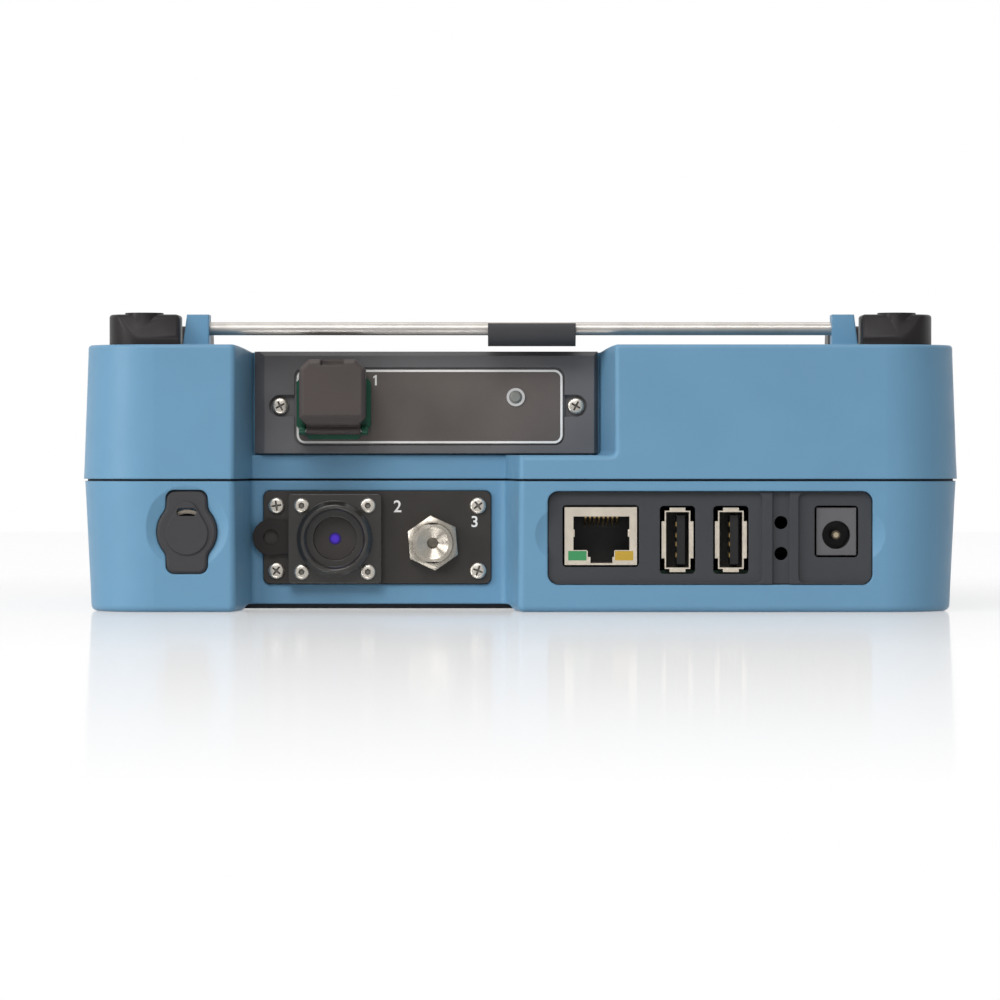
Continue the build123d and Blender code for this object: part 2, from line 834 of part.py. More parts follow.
# Sealing cord in the groove between the two halves
with BuildPart() as case_gasket:
    with BuildSketch(Plane.XY.offset(front_height)):
        RectangleRounded(case_width, case_length, corner_radius)
        recess_face = recess_prism(recess_right, recess_depth, 0.0, 0.0, cut_margin)
        add(recess_face.faces().sort_by(Axis.Z)[0], mode=Mode.SUBTRACT)
        offset(amount=-gasket_inset)
        offset(amount=-gasket_width, mode=Mode.SUBTRACT)
    extrude(amount=seam_gap)
save(case_gasket, "case_gasket")

# Rubber feet, one on each corner of the back, with a screw boss rising through the sloped end
with BuildPart() as corner_feet:
    for side in (-1, 1):
        for end in (-1, 1):
            with BuildSketch(Plane.XY.offset(back_z)):
                with Locations((side * foot_x, end * foot_y)):
                    Rectangle(foot_width, foot_length)
                fillet(vertices().sort_by(lambda v: side * v.X + end * v.Y)[-1], foot_corner)
                fillet(vertices().sort_by(lambda v: side * v.X + end * v.Y)[0], foot_inner_corner)
            extrude(amount=foot_height)
    for end in (-1, 1):
        with BuildSketch(Plane.YZ):
            skirt_z = back_z + foot_skirt
            above_z = foot_top + cut_margin
            low_y = end * (case_length / 2 - foot_start)
            beyond_y = low_y + end * cut_margin
            slope_y = low_y - end * (foot_height - foot_skirt) * tan(radians(foot_slope))
            wedge = [(low_y, skirt_z), (slope_y, foot_top), (slope_y, above_z)]
            Polygon(*wedge, (beyond_y, above_z), (beyond_y, skirt_z), align=None)
        extrude(amount=side_x, both=True, mode=Mode.SUBTRACT)
    posts(foot_points, foot_boss_radius, back_z, foot_height + foot_boss_rise)
    with Locations(Plane.XY.offset(foot_top + foot_boss_rise)):
        drill(foot_points, foot_bore_radius, foot_bore_depth)
        drill(foot_points, case_screw_radius + running_fit, 2 * foot_height)
save(corner_feet, "corner_feet")

# Long screws that hold the feet and the two halves together
head_z = foot_top + foot_boss_rise - foot_bore_depth
case_screws = screw_set(Plane.XY.offset(head_z), foot_points, case_screw_head, case_screw_head_height,
                        case_screw_radius, head_z - front_height + case_screw_bite)
save(case_screws, "case_screws")

# Straight steel rod between the lugs
with BuildPart() as stand_rod:
    with Locations((0, rod_y, rod_z)):
        Cylinder(rod_radius, 2 * (lug_inner + rod_seat) - loose_gap, rotation=ACROSS)
save(stand_rod, "stand_rod")

# Folding stand leg: an open knuckle snaps over the rod and the bar lies along the back
leg_top = rod_z + leg_rise
leg_bottom = rod_z - leg_drop
leg_end = case_length / 2 - leg_end_margin
with BuildPart() as stand_leg:
    with BuildSketch(Plane.YZ.offset(leg_offset)):
        with Locations((rod_y, rod_z)):
            Circle(knuckle_radius)
        with Locations((rod_y, leg_top)):
            Rectangle(leg_width, leg_width, align=(Align.CENTER, Align.MIN), mode=Mode.SUBTRACT)
    extrude(amount=leg_width / 2, both=True)
    with BuildSketch(Plane.XY.offset(leg_bottom)):
        half = leg_width / 2
        tip_half = leg_tip_width / 2
        taper_y = rod_y + leg_straight
        sides = [(leg_offset - half, rod_y), (leg_offset - half, taper_y), (leg_offset - tip_half, leg_end)]
        sides += [(leg_offset + tip_half, leg_end), (leg_offset + half, taper_y), (leg_offset + half, rod_y)]
        Polygon(*sides, align=None)
    extrude(amount=leg_top - leg_bottom)
    with BuildSketch(Plane.XY.offset(leg_top)):
        with Locations((leg_offset, (rod_y + leg_end) / 2)):
            pocket_length = leg_end - rod_y - 2 * leg_pocket_end
            SlotOverall(pocket_length, leg_tip_width - 2 * leg_pocket_side, rotation=90)
    extrude(amount=-leg_pocket, mode=Mode.SUBTRACT)
    with Locations((leg_offset, leg_end, rod_z)):
        Box(tenon_width, 2 * tenon_length, tenon_height)
    with Locations((leg_offset, rod_y, rod_z)):
        Cylinder(rod_radius + running_fit, leg_width + cut_margin, rotation=ACROSS, mode=Mode.SUBTRACT)
        Box(leg_width + cut_margin, snap_width, 2 * leg_rise, align=UPWARD, mode=Mode.SUBTRACT)
save(stand_leg, "stand_leg")

# Rubber shoe on the end of the leg
with BuildPart() as leg_tip:
    with BuildSketch(Plane.XY.offset(leg_bottom - tip_skirt)):
        with Locations((leg_offset, leg_end)):
            Rectangle(leg_tip_width, tip_length, align=(Align.CENTER, Align.MIN))
        fillet(vertices().group_by(Axis.Y)[-1], tip_corner)
    extrude(amount=leg_top - leg_bottom + tip_skirt)
    with Locations((leg_offset, leg_end, rod_z)):
        Box(tenon_width, 2 * tenon_length, tenon_height, mode=Mode.SUBTRACT)
save(leg_tip, "leg_tip")

# Front panel of the measuring module, its edges bevelled back to the bay wall
panel_left = recess_left + recess_slope * module_wall_depth + module_edge_gap
panel_right = bay_right - recess_slope * module_wall_depth - module_edge_gap
panel_bottom = ledge_z + module_edge_gap
with BuildPart() as module_panel:
    with BuildSketch(Plane.XY.offset(panel_bottom)):
        wall_y = end_y + module_wall_depth
        face_y = end_y + module_face_depth
        bevel_y = face_y + module_bevel_depth
        profile = [(panel_left, wall_y), (panel_left, bevel_y), (panel_left + module_bevel_left, face_y)]
        profile += [(panel_right - module_bevel_right, face_y), (panel_right, bevel_y), (panel_right, wall_y)]
        Polygon(*profile, align=None)
    extrude(amount=module_top - panel_bottom)
    top_edge = module_panel.edges().filter_by(Axis.X).group_by(Axis.Z)[-1].sort_by(Axis.Y)[0]
    chamfer(top_edge, module_top_chamfer)
    # Groove round the middle field, and a screw pocket that runs into it at each end
    with BuildSketch(end_plane(module_face_depth)):
        with Locations((plate_x, plate_z)):
            RectangleRounded(plate_width, plate_height, plate_corner)
            offset(amount=-plate_groove, mode=Mode.SUBTRACT)
    extrude(amount=-plate_groove, mode=Mode.SUBTRACT)
    with BuildSketch(end_plane(module_face_depth)):
        for (x, z), edge in zip(module_points, plate_edges):
            with Locations(((x + edge) / 2, z)):
                Rectangle(abs(edge - x), 2 * module_screw_pocket)
            with Locations((x, z)):
                Circle(module_screw_pocket)
    extrude(amount=-module_screw_sink, mode=Mode.SUBTRACT)
    # Holes for the screws, the lamp and the fibre
    with Locations(end_plane(module_face_depth)):
        drill(module_points, module_screw_radius + running_fit, 2 * module_panel_thickness)
        drill([(lamp_x, lamp_z)], lamp_ring_radius + running_fit, 2 * module_panel_thickness)
        drill([(adapter_x, nozzle_z)], ferrule_radius + running_fit, 2 * module_panel_thickness)
save(module_panel, "module_panel")

module_screws = screw_set(end_plane(module_face_depth + module_screw_sink), module_points, module_screw_head,
                          module_screw_head_height, module_screw_radius, module_screw_length)
save(module_screws, "module_screws")

# Lamp beside the port: a metal ring and a moulded lens
with BuildPart() as lamp_ring:
    with BuildSketch(end_plane(module_face_depth + lamp_depth)):
        with Locations((lamp_x, lamp_z)):
            Circle(lamp_ring_radius)
            Circle(lamp_lens_radius + running_fit, mode=Mode.SUBTRACT)
    extrude(amount=lamp_depth + lamp_proud)
save(lamp_ring, "lamp_ring")

with BuildPart() as lamp_lens:
    with BuildSketch(end_plane(module_face_depth + lamp_depth)):
        with Locations((lamp_x, lamp_z)):
            Circle(lamp_lens_radius)
    extrude(amount=lamp_depth + 2 * lamp_proud)
    chamfer(lamp_lens.edges().sort_by(Axis.Y)[0], lamp_dome)
save(lamp_lens, "lamp_lens")

# Green fibre adapter base with two hinge ears below
with BuildPart() as adapter_base:
    with BuildSketch(end_plane(module_face_depth)):
        with Locations((adapter_x, adapter_z)):
            Rectangle(adapter_width, adapter_height)
        chamfer(vertices(), adapter_corner)
    extrude(amount=adapter_thickness)
    for side in (-1, 1):
        with Locations((adapter_x + side * ear_x, hinge_y, hinge_z)):
            Cylinder(hinge_radius, ear_width, rotation=ACROSS)
            ear_length = base_face_depth - hinge_depth + cut_margin
            Box(ear_width, ear_length, 2 * hinge_radius, align=(Align.CENTER, Align.MIN, Align.CENTER))
    with Locations((adapter_x, hinge_y, hinge_z)):
        Cylinder(hinge_pin_radius + thread_fit, 2 * cap_width, rotation=ACROSS, mode=Mode.SUBTRACT)
    with Locations(end_plane(base_face_depth)):
        drill([(adapter_x, nozzle_z)], ferrule_radius + running_fit, 2 * adapter_thickness)
save(adapter_base, "adapter_base")

# Square connector sleeve in front of the base, under the cap
with BuildPart() as adapter_sleeve:
    with BuildSketch(end_plane(base_face_depth)):
        with Locations((adapter_x, nozzle_z)):
            Rectangle(nozzle_width, nozzle_height)
    extrude(amount=nozzle_length)
    with BuildSketch(end_plane(base_face_depth - nozzle_wall)):
        with Locations((adapter_x, nozzle_z)):
            Rectangle(nozzle_width - 2 * nozzle_wall, nozzle_height - 2 * nozzle_wall)
    extrude(amount=nozzle_length, mode=Mode.SUBTRACT)
    with Locations(end_plane(base_face_depth - nozzle_wall)):
        drill([(adapter_x, nozzle_z)], ferrule_radius + running_fit, nozzle_length)
save(adapter_sleeve, "adapter_sleeve")

# Ceramic ferrule that runs from the sleeve into the module
with BuildPart() as adapter_ferrule:
    with Locations(end_plane(ferrule_front)):
        with Locations((adapter_x, nozzle_z)):
            Cylinder(ferrule_radius, ferrule_length, align=DOWNWARD)
    chamfer(adapter_ferrule.edges().sort_by(Axis.Y)[0], ferrule_chamfer)
save(adapter_ferrule, "adapter_ferrule")

# Dust cap, hinged below, that closes over the sleeve
cap_back = base_face_depth - cap_back_gap
cap_z = cap_bottom + cap_height / 2
with BuildPart() as dust_cap:
    with BuildSketch(end_plane(cap_back)):
        with Locations((adapter_x, cap_z)):
            Rectangle(cap_width, cap_height)
        chamfer(vertices().group_by(Axis.Y)[-1], cap_top_chamfer)
        chamfer(vertices().group_by(Axis.Y)[0], cap_low_chamfer)
    extrude(amount=cap_back - cap_front)
    chamfer(dust_cap.faces().sort_by(Axis.Y)[0].edges().sort_by(Axis.Z)[0], cap_chin)
    chamfer(dust_cap.faces().sort_by(Axis.Y)[0].edges().sort_by(Axis.Z)[1:], cap_edge)
    with BuildSketch(end_plane(cap_back)):
        with Locations((adapter_x, cap_bottom + cap_wall)):
            inner_height = cap_height - cap_wall - cap_top_wall
            Rectangle(cap_width - 2 * cap_wall, inner_height, align=(Align.CENTER, Align.MIN))
        chamfer(vertices().group_by(Axis.Y)[-1], cap_inner_chamfer)
    extrude(amount=cap_back - cap_front - cap_wall, mode=Mode.SUBTRACT)
    with BuildSketch(end_plane(cap_front)):
        with Locations((adapter_x, cap_bottom + cap_height)):
            Rectangle(cap_notch_width, 2 * cap_notch_depth)
    extrude(amount=-cap_notch_length, mode=Mode.SUBTRACT)
    with Locations((adapter_x, hinge_y, hinge_z)):
        knuckle = 2 * (ear_x - ear_width / 2 - knuckle_gap)
        Cylinder(hinge_radius, knuckle, rotation=ACROSS)
        Box(knuckle, knuckle_web, cap_bottom - hinge_z + cap_wall / 2, align=UPWARD)
        Cylinder(hinge_pin_radius + running_fit, 2 * cap_width, rotation=ACROSS, mode=Mode.SUBTRACT)
save(dust_cap, "dust_cap")

with BuildPart() as cap_hinge_pin:
    with Locations((adapter_x, hinge_y, hinge_z)):
        Cylinder(hinge_pin_radius, 2 * ear_x + ear_width, rotation=ACROSS)
save(cap_hinge_pin, "cap_hinge_pin")

# Meter panel, a plate sunk a little into the recess wall
with BuildPart() as meter_panel:
    with BuildSketch(end_plane(meter_face_depth)):
        with Locations((meter_x, meter_z)):
            RectangleRounded(meter_width, meter_height, meter_corner)
    extrude(amount=-meter_thickness)
    with Locations(end_plane(meter_face_depth)):
        drill(meter_points, meter_screw_radius + running_fit, 2 * meter_thickness)
        drill(flange_points, flange_screw_radius + running_fit, 2 * meter_thickness)
        drill([(detector_x, detector_z)], spigot_radius + panel_gap, 2 * meter_thickness)
        drill([(fault_x, fault_z)], fault_radius + panel_gap, 2 * meter_thickness)
save(meter_panel, "meter_panel")

meter_screws = screw_set(end_plane(meter_face_depth), meter_points, meter_screw_head, meter_screw_head_height,
                         meter_screw_radius, meter_screw_length)
save(meter_screws, "meter_screws")

# Detector port: a square flange with a low barrel that takes push-on adapters
with BuildPart() as detector_flange:
    with BuildSketch(end_plane(meter_face_depth)):
        with Locations((detector_x, detector_z)):
            RectangleRounded(flange_width, flange_height, flange_corner)
    extrude(amount=flange_thickness)
    with Locations(end_plane(flange_face_depth)):
        with Locations((detector_x, detector_z)):
            Cylinder(barrel_radius, barrel_length, align=UPWARD)
    chamfer(detector_flange.edges().filter_by(GeomType.CIRCLE).sort_by(Axis.Y)[0], barrel_chamfer)
    with Locations(end_plane(meter_face_depth)):
        with Locations((detector_x, detector_z)):
            Cylinder(spigot_radius, meter_thickness, align=DOWNWARD)
    with Locations(end_plane(barrel_front)):
        bore_depth = detector_face_depth - barrel_front - barrel_floor
        drill([(detector_x, detector_z)], barrel_bore_radius, bore_depth)
        with Locations((detector_x, detector_z)):
            Cone(barrel_bore_radius, barrel_bore_radius + barrel_mouth_chamfer, barrel_mouth_chamfer,
                 align=DOWNWARD, mode=Mode.SUBTRACT)
        drill([(detector_x, detector_z)], detector_radius + running_fit, 2 * detector_length)
        drill(flange_points, flange_screw_radius + running_fit, 2 * detector_length)
    # Slot behind the flange for the tether tab's strap
    with BuildSketch(end_plane(meter_face_depth)):
        with Locations((strap_end + panel_gap, tab_z)):
            Rectangle(2 * tab_tuck, tab_strap + 2 * panel_gap, align=(Align.MAX, Align.CENTER))
    extrude(amount=tab_thickness + running_fit, mode=Mode.SUBTRACT)
save(detector_flange, "detector_flange")

flange_screws = screw_set(end_plane(flange_face_depth), flange_points, flange_screw_head,
                          flange_screw_head_height, flange_screw_radius, flange_screw_length)
save(flange_screws, "flange_screws")

with BuildPart() as detector_can:
    with Locations(end_plane(detector_face_depth)):
        with Locations((detector_x, detector_z)):
            Cylinder(detector_radius, detector_length, align=DOWNWARD)
        drill([(detector_x, detector_z)], window_radius, window_depth)
save(detector_can, "detector_can")

with BuildPart() as detector_window:
    with Locations(end_plane(detector_face_depth + window_sink)):
        with Locations((detector_x, detector_z)):
            Cylinder(window_radius - thread_fit, window_depth - window_sink, align=DOWNWARD)
save(detector_window, "detector_window")

# Rubber tab with a ring, caught under the flange, that takes a cap's tether
with BuildPart() as tether_tab:
    with BuildSketch(end_plane(meter_face_depth)):
        with Locations((tab_x, tab_z)):
            Circle(tab_radius)
            Rectangle(strap_end - tab_x, tab_strap, align=(Align.MIN, Align.CENTER))
            Circle(tab_hole_radius, mode=Mode.SUBTRACT)
    extrude(amount=tab_thickness)
save(tether_tab, "tether_tab")

# Fault locator port: a barrel with two flats, held by a hexagon nut on the panel
with BuildPart() as fault_barrel:
    with BuildSketch(end_plane(meter_back_depth)):
        with Locations((fault_x, fault_z)):
            Circle(fault_radius)
            Rectangle(2 * fault_radius, fault_flats, mode=Mode.INTERSECT)
    extrude(amount=meter_back_depth - fault_front)
    with Locations(end_plane(meter_back_depth)):
        with Locations((fault_x, fault_z)):
            Cylinder(fault_radius + fault_collar, fault_collar_thickness, align=DOWNWARD)
    with Locations(end_plane(fault_front)):
        with Locations((fault_x, fault_z, thread_fit)):
            Cone(fault_bore_radius, fault_dish_radius, fault_dish, align=DOWNWARD, mode=Mode.SUBTRACT)
        drill([(fault_x, fault_z)], fault_bore_radius, fault_bore_depth)
save(fault_barrel, "fault_barrel")

# Its nut, with the corners turned off in front
with BuildPart() as fault_nut:
    with BuildSketch(end_plane(meter_face_depth)):
        with Locations((fault_x, fault_z)):
            RegularPolygon(nut_flats / 2, 6, major_radius=False, rotation=30.0 - nut_turn)
    extrude(amount=nut_thickness)
    with Locations(end_plane(meter_face_depth)):
        with Locations((fault_x, fault_z)):
            cone_foot = nut_face_radius + nut_thickness / tan(radians(nut_chamfer_angle))
            Cone(cone_foot, nut_face_radius, nut_thickness, align=UPWARD, mode=Mode.INTERSECT)
    with Locations(end_plane(meter_face_depth - nut_thickness)):
        drill([(fault_x, fault_z)], fault_radius + running_fit, 2 * nut_thickness)
save(fault_nut, "fault_nut")

with BuildPart() as fault_laser:
    with Locations(end_plane(fault_collar_depth)):
        with Locations((fault_x, fault_z)):
            Cylinder(fault_laser_radius, fault_laser_length, align=DOWNWARD)
save(fault_laser, "fault_laser")

# Port panel: a dark insert through the wall of the connector end
with BuildPart() as port_panel:
    with BuildSketch(end_plane(port_face_depth + port_thickness)):
        with Locations((port_x, port_z)):
            RectangleRounded(port_width, port_height, port_corner)
    extrude(amount=port_thickness + rib_height)
    # Face cut back on both sides of the ribs, and the groove between the ribs
    with BuildSketch(end_plane(port_face_depth)):
        pocket_height = port_height - 2 * pocket_lip
        with Locations((port_left - port_corner, port_z)):
            left_field = rib_left - port_left + port_corner
            RectangleRounded(left_field, pocket_height, pocket_corner, align=(Align.MIN, Align.CENTER))
        with Locations((port_right + port_corner, port_z)):
            right_field = port_right - rib_right + port_corner
            RectangleRounded(right_field, pocket_height, pocket_corner, align=(Align.MAX, Align.CENTER))
        with Locations((groove_x, port_z)):
            Rectangle(groove_width, 2 * port_height)
    extrude(amount=2 * rib_height, mode=Mode.SUBTRACT)
    # Windows for the sockets and holes for a cover's studs
    with BuildSketch(end_plane(0)):
        with Locations((lan_x, lan_z)):
            RectangleRounded(lan_width + 2 * socket_gap, lan_height + 2 * socket_gap, window_corner)
        with Locations(*usb_points):
            RectangleRounded(usb_width + 2 * usb_window_gap, usb_height + 2 * usb_window_gap, window_corner)
        with Locations((inlet_x, inlet_z)):
            RectangleRounded(inlet_width + 2 * socket_gap, inlet_height + 2 * socket_gap, window_corner)
        with Locations(*anchor_points):
            Circle(anchor_radius)
    extrude(amount=-2 * (port_face_depth + port_thickness), mode=Mode.SUBTRACT)
save(port_panel, "port_panel")

# Network socket: metal shell, moulded insert, eight contact wires and two link lamps
with BuildPart() as lan_shell:
    with BuildSketch(end_plane(socket_depth + lan_length)):
        with Locations((lan_x, lan_z)):
            Rectangle(lan_width, lan_height)
    extrude(amount=lan_length)
    with BuildSketch(end_plane(socket_depth + lan_length)):
        with Locations((lan_x, lan_z)):
            Rectangle(lan_width - 2 * lan_skin, lan_height - 2 * lan_skin)
    extrude(amount=lan_length - lan_skin, mode=Mode.SUBTRACT)
    with BuildSketch(end_plane(socket_depth)):
        plug_mouth()
        with Locations(*link_lamp_points):
            Rectangle(link_lamp_width, link_lamp_height)
    extrude(amount=-2 * lan_skin, mode=Mode.SUBTRACT)
    peg_x = lan_width / 2 - lan_peg_inset
    peg_y = end_y + socket_depth + lan_peg_depth
    peg_height = lan_z - lan_height / 2 - io_board_top + lan_skin
    posts([(lan_x - peg_x, peg_y), (lan_x + peg_x, peg_y)], solder_peg_radius, io_board_top, peg_height)
save(lan_shell, "lan_shell")

with BuildPart() as lan_insert:
    with BuildSketch(end_plane(socket_depth + lan_length)):
        with Locations((lan_x, lan_z)):
            shrink = 2 * (lan_skin + running_fit)
            Rectangle(lan_width - shrink, lan_height - shrink)
    extrude(amount=lan_length - lan_skin)
    with BuildSketch(end_plane(insert_front)):
        plug_mouth()
    extrude(amount=-plug_depth, mode=Mode.SUBTRACT)
    with BuildSketch(end_plane(insert_front)):
        with Locations(*link_lamp_points):
            Rectangle(link_lamp_width, link_lamp_height)
    extrude(amount=-link_lamp_depth, mode=Mode.SUBTRACT)
save(lan_insert, "lan_insert")

with BuildPart() as lan_contacts:
    wire_y = end_y + insert_front + contact_start
    wire_end = end_y + insert_front + plug_depth
    wire = [(wire_y, plug_top), (wire_y, plug_top - contact_thickness)]
    wire += [(wire_end, plug_top - contact_thickness - contact_fall), (wire_end, plug_top - contact_fall)]
    for number in range(contact_count):
        wire_x = plug_x + (number - (contact_count - 1) / 2) * contact_pitch
        with BuildSketch(Plane.YZ.offset(wire_x)):
            Polygon(*wire, align=None)
        extrude(amount=contact_width / 2, both=True)
save(lan_contacts, "lan_contacts")

for node, centre in zip(("link_lamp_left", "link_lamp_right"), link_lamp_points):
    with BuildPart() as link_lamp:
        with BuildSketch(end_plane(insert_front + link_lamp_depth)):
            with Locations(centre):
                Rectangle(link_lamp_width - 2 * thread_fit, link_lamp_height - 2 * thread_fit)
        extrude(amount=link_lamp_depth + lan_skin)
    save(link_lamp, node)

# Two upright USB sockets: flared metal shells, plastic tongues and contact strips
with BuildPart() as usb_shells:
    with BuildSketch(end_plane(usb_back)):
        with Locations(*usb_points):
            Rectangle(usb_width, usb_height)
    extrude(amount=usb_length)
    with BuildSketch(end_plane(usb_back - usb_skin)):
        with Locations(*usb_points):
            Rectangle(usb_width - 2 * usb_skin, usb_height - 2 * usb_skin)
    extrude(amount=usb_length, mode=Mode.SUBTRACT)
    for x, z in usb_points:
        with BuildSketch(end_plane(socket_depth)):
            with Locations((x, z + usb_height / 2), (x, z - usb_height / 2)):
                Rectangle(usb_end_lip, 2 * usb_flare)
            with Locations((x - usb_width / 2, z), (x + usb_width / 2, z)):
                Rectangle(2 * usb_flare, usb_side_lip)
            with Locations((x, z)):
                Rectangle(usb_width - 2 * usb_skin, usb_height - 2 * usb_skin, mode=Mode.SUBTRACT)
        extrude(amount=-usb_lip_thickness)
    peg_points = [(x, end_y + usb_back - usb_peg_inset) for x in usb_x]
    peg_height = usb_z - usb_height / 2 - io_board_top + usb_skin / 2
    posts(peg_points, solder_peg_radius, io_board_top, peg_height)
save(usb_shells, "usb_shells")

with BuildPart() as usb_tongues:
    with BuildSketch(end_plane(usb_back - usb_skin)):
        with Locations(*usb_points):
            skin = 2 * (usb_skin + running_fit)
            Rectangle(usb_width - skin, usb_height - skin)
    extrude(amount=tongue_base)
    with BuildSketch(end_plane(tongue_root)):
        with Locations(*[(x + tongue_shift, z) for x, z in usb_points]):
            Rectangle(tongue_thickness, tongue_height)
    extrude(amount=tongue_length)
save(usb_tongues, "usb_tongues")

with BuildPart() as usb_contacts:
    with BuildSketch(end_plane(tongue_root)):
        strip_x = tongue_shift - tongue_thickness / 2
        strip_rows = (-strip_outer, -strip_inner, strip_inner, strip_outer)
        with Locations(*[(x + strip_x, usb_z + row) for x in usb_x for row in strip_rows]):
            Rectangle(strip_thickness, strip_width, align=(Align.MAX, Align.CENTER))
    extrude(amount=tongue_length - strip_short)
save(usb_contacts, "usb_contacts")

# Power inlet: a moulded body around a centre pin
pin_back = socket_depth + inlet_hole_depth + inlet_pin_root
with BuildPart() as power_inlet:
    with BuildSketch(end_plane(socket_depth + inlet_length)):
        with Locations((inlet_x, inlet_z)):
            Rectangle(inlet_width, inlet_height)
    extrude(amount=inlet_length)
    with Locations(end_plane(socket_depth)):
        drill([(inlet_x, inlet_hole_z)], inlet_hole_radius, inlet_hole_depth)
        drill([(inlet_x, inlet_hole_z)], inlet_pin_radius + thread_fit, inlet_hole_depth + inlet_pin_root)
    peg_y = end_y + socket_depth + inlet_peg_depth
    peg_points = [(inlet_x - inlet_peg_pitch / 2, peg_y), (inlet_x + inlet_peg_pitch / 2, peg_y)]
    posts(peg_points, solder_peg_radius, io_board_top, inlet_bottom - io_board_top + inlet_peg_root)
save(power_inlet, "power_inlet")

with BuildPart() as inlet_pin:
    with Locations(end_plane(pin_back)):
        with Locations((inlet_x, inlet_hole_z)):
            Cylinder(inlet_pin_radius, pin_back - socket_depth - inlet_pin_short, align=UPWARD)
    chamfer(inlet_pin.edges().sort_by(Axis.Y)[0], inlet_pin_chamfer)
save(inlet_pin, "inlet_pin")

# Board under the ports
with BuildPart() as io_board:
    with BuildSketch(Plane.XY.offset(io_board_top)):
        with Locations((port_left - io_board_left, end_y + port_face_depth + port_thickness + loose_gap)):
            io_board_width = port_width + io_board_left + io_board_right
            Rectangle(io_board_width, io_board_length, align=(Align.MIN, Align.MIN))
        with Locations(*io_points):
            Circle(board_screw_radius + running_fit, mode=Mode.SUBTRACT)
    extrude(amount=-board_thickness)
save(io_board, "io_board")

# Rubber plug that closes the probe port, and the round socket behind it
plug_back = plug_face_depth + plug_thickness - running_fit
with BuildPart() as probe_plug:
    with BuildSketch(end_plane(plug_back)):
        plug_outline(0.0)
    extrude(amount=plug_thickness)
    chamfer(probe_plug.faces().sort_by(Axis.Y)[0].edges(), plug_edge)
    with BuildSketch(end_plane(plug_back - plug_thickness)):
        with Locations((probe_x, probe_rise - relief_drop)):
            Circle(relief_radius)
        with Locations((probe_x, probe_rise + loop_rise)):
            Circle(relief_top_radius)
        make_hull()
    extrude(amount=relief_height)
    with BuildSketch(end_plane(plug_back)):
        with Locations((probe_x, probe_rise + loop_rise)):
            RectangleRounded(loop_width, loop_height, loop_corner)
    extrude(amount=2 * plug_thickness, mode=Mode.SUBTRACT)
    with Locations(end_plane(plug_back)):
        with Locations((probe_x, probe_rise)):
            Cylinder(spigot_plug_radius, spigot_length, align=DOWNWARD)
save(probe_plug, "probe_plug")

socket_front = plug_back + socket_play
with BuildPart() as probe_socket:
    with Locations(end_plane(socket_front)):
        with Locations((probe_x, probe_rise)):
            Cylinder(socket_radius, socket_length, align=DOWNWARD)
    with Locations(end_plane(probe_pad)):
        with Locations((probe_x, probe_rise)):
            Cylinder(socket_radius + socket_flange, socket_flange_thickness, align=DOWNWARD)
    with Locations(end_plane(socket_front)):
        drill([(probe_x, probe_rise)], spigot_plug_radius + socket_play, spigot_length + spigot_end_gap)
save(probe_socket, "probe_socket")

# Display side: dark frame, touch glass and display
with BuildPart() as bezel_frame:
    with BuildSketch(Plane.XY.offset(bezel_sink)):
        with Locations((0, bezel_y)):
            RectangleRounded(bezel_width, bezel_length, bezel_corner - panel_gap)
        face_openings(panel_gap, Mode.SUBTRACT)
    extrude(amount=-bezel_thickness)
save(bezel_frame, "bezel_frame")

with BuildPart() as touch_glass:
    with BuildSketch(Plane.XY.offset(glass_face)):
        with Locations((0, glass_y)):
            RectangleRounded(glass_width, glass_length, glass_corner - panel_gap)
    extrude(amount=glass_thickness)
save(touch_glass, "touch_glass")

with BuildPart() as display_panel:
    with BuildSketch(Plane.XY.offset(face_wall)):
        with Locations((0, glass_y)):
            Rectangle(glass_width + 2 * display_border, glass_length + 2 * display_border)
    extrude(amount=display_thickness)
    with BuildSketch(Plane.XY.offset(glass_face + glass_thickness)):
        with Locations((0, glass_y)):
            Rectangle(glass_width - 2 * display_step, glass_length - 2 * display_step)
    extrude(amount=face_wall - glass_face - glass_thickness)
save(display_panel, "display_panel")

# Keys: each cap has a flange behind the face, with a switch behind it
for node, centre in zip(("power_key", "home_key"), key_points):
    with BuildPart() as key:
        with BuildSketch(Plane.XY.offset(key_face)):
            with Locations(centre):
                Circle(key_radius)
        extrude(amount=stem_end - key_face)
        chamfer(key.edges().sort_by(Axis.Z)[0], key_edge)
        with BuildSketch(Plane.XY.offset(face_wall + loose_gap)):
            with Locations(centre):
                Circle(key_radius + key_flange_width)
        extrude(amount=key_flange)
    save(key, node)

status_end = face_wall + status_stem
with BuildPart() as status_light:
    with BuildSketch(Plane.XY.offset(key_face)):
        with Locations((status_x, key_y)):
            Circle(status_radius)
    extrude(amount=status_end - key_face)
save(status_light, "status_light")

# Key board with two switches and a lamp, standing off the main board on posts
with BuildPart() as key_board:
    with BuildSketch(Plane.XY.offset(key_board_z)):
        with Locations(((status_x + power_key_x) / 2, key_y)):
            Rectangle(power_key_x - status_x + 2 * key_board_border, key_board_width)
    extrude(amount=key_board_thickness)
    with Locations(*[(x, y, switch_face) for x, y in key_points]):
        Box(switch_size, switch_size, switch_height, align=UPWARD)
    posts([(status_x, key_y)], status_radius, status_end, key_board_z - status_end)
    post_x = status_x + key_post_inset
    post_points = [(post_x, key_y), (post_x + key_post_pitch, key_y)]
    posts(post_points, key_post_radius, key_board_z, board_z - key_board_z)
save(key_board, "key_board")

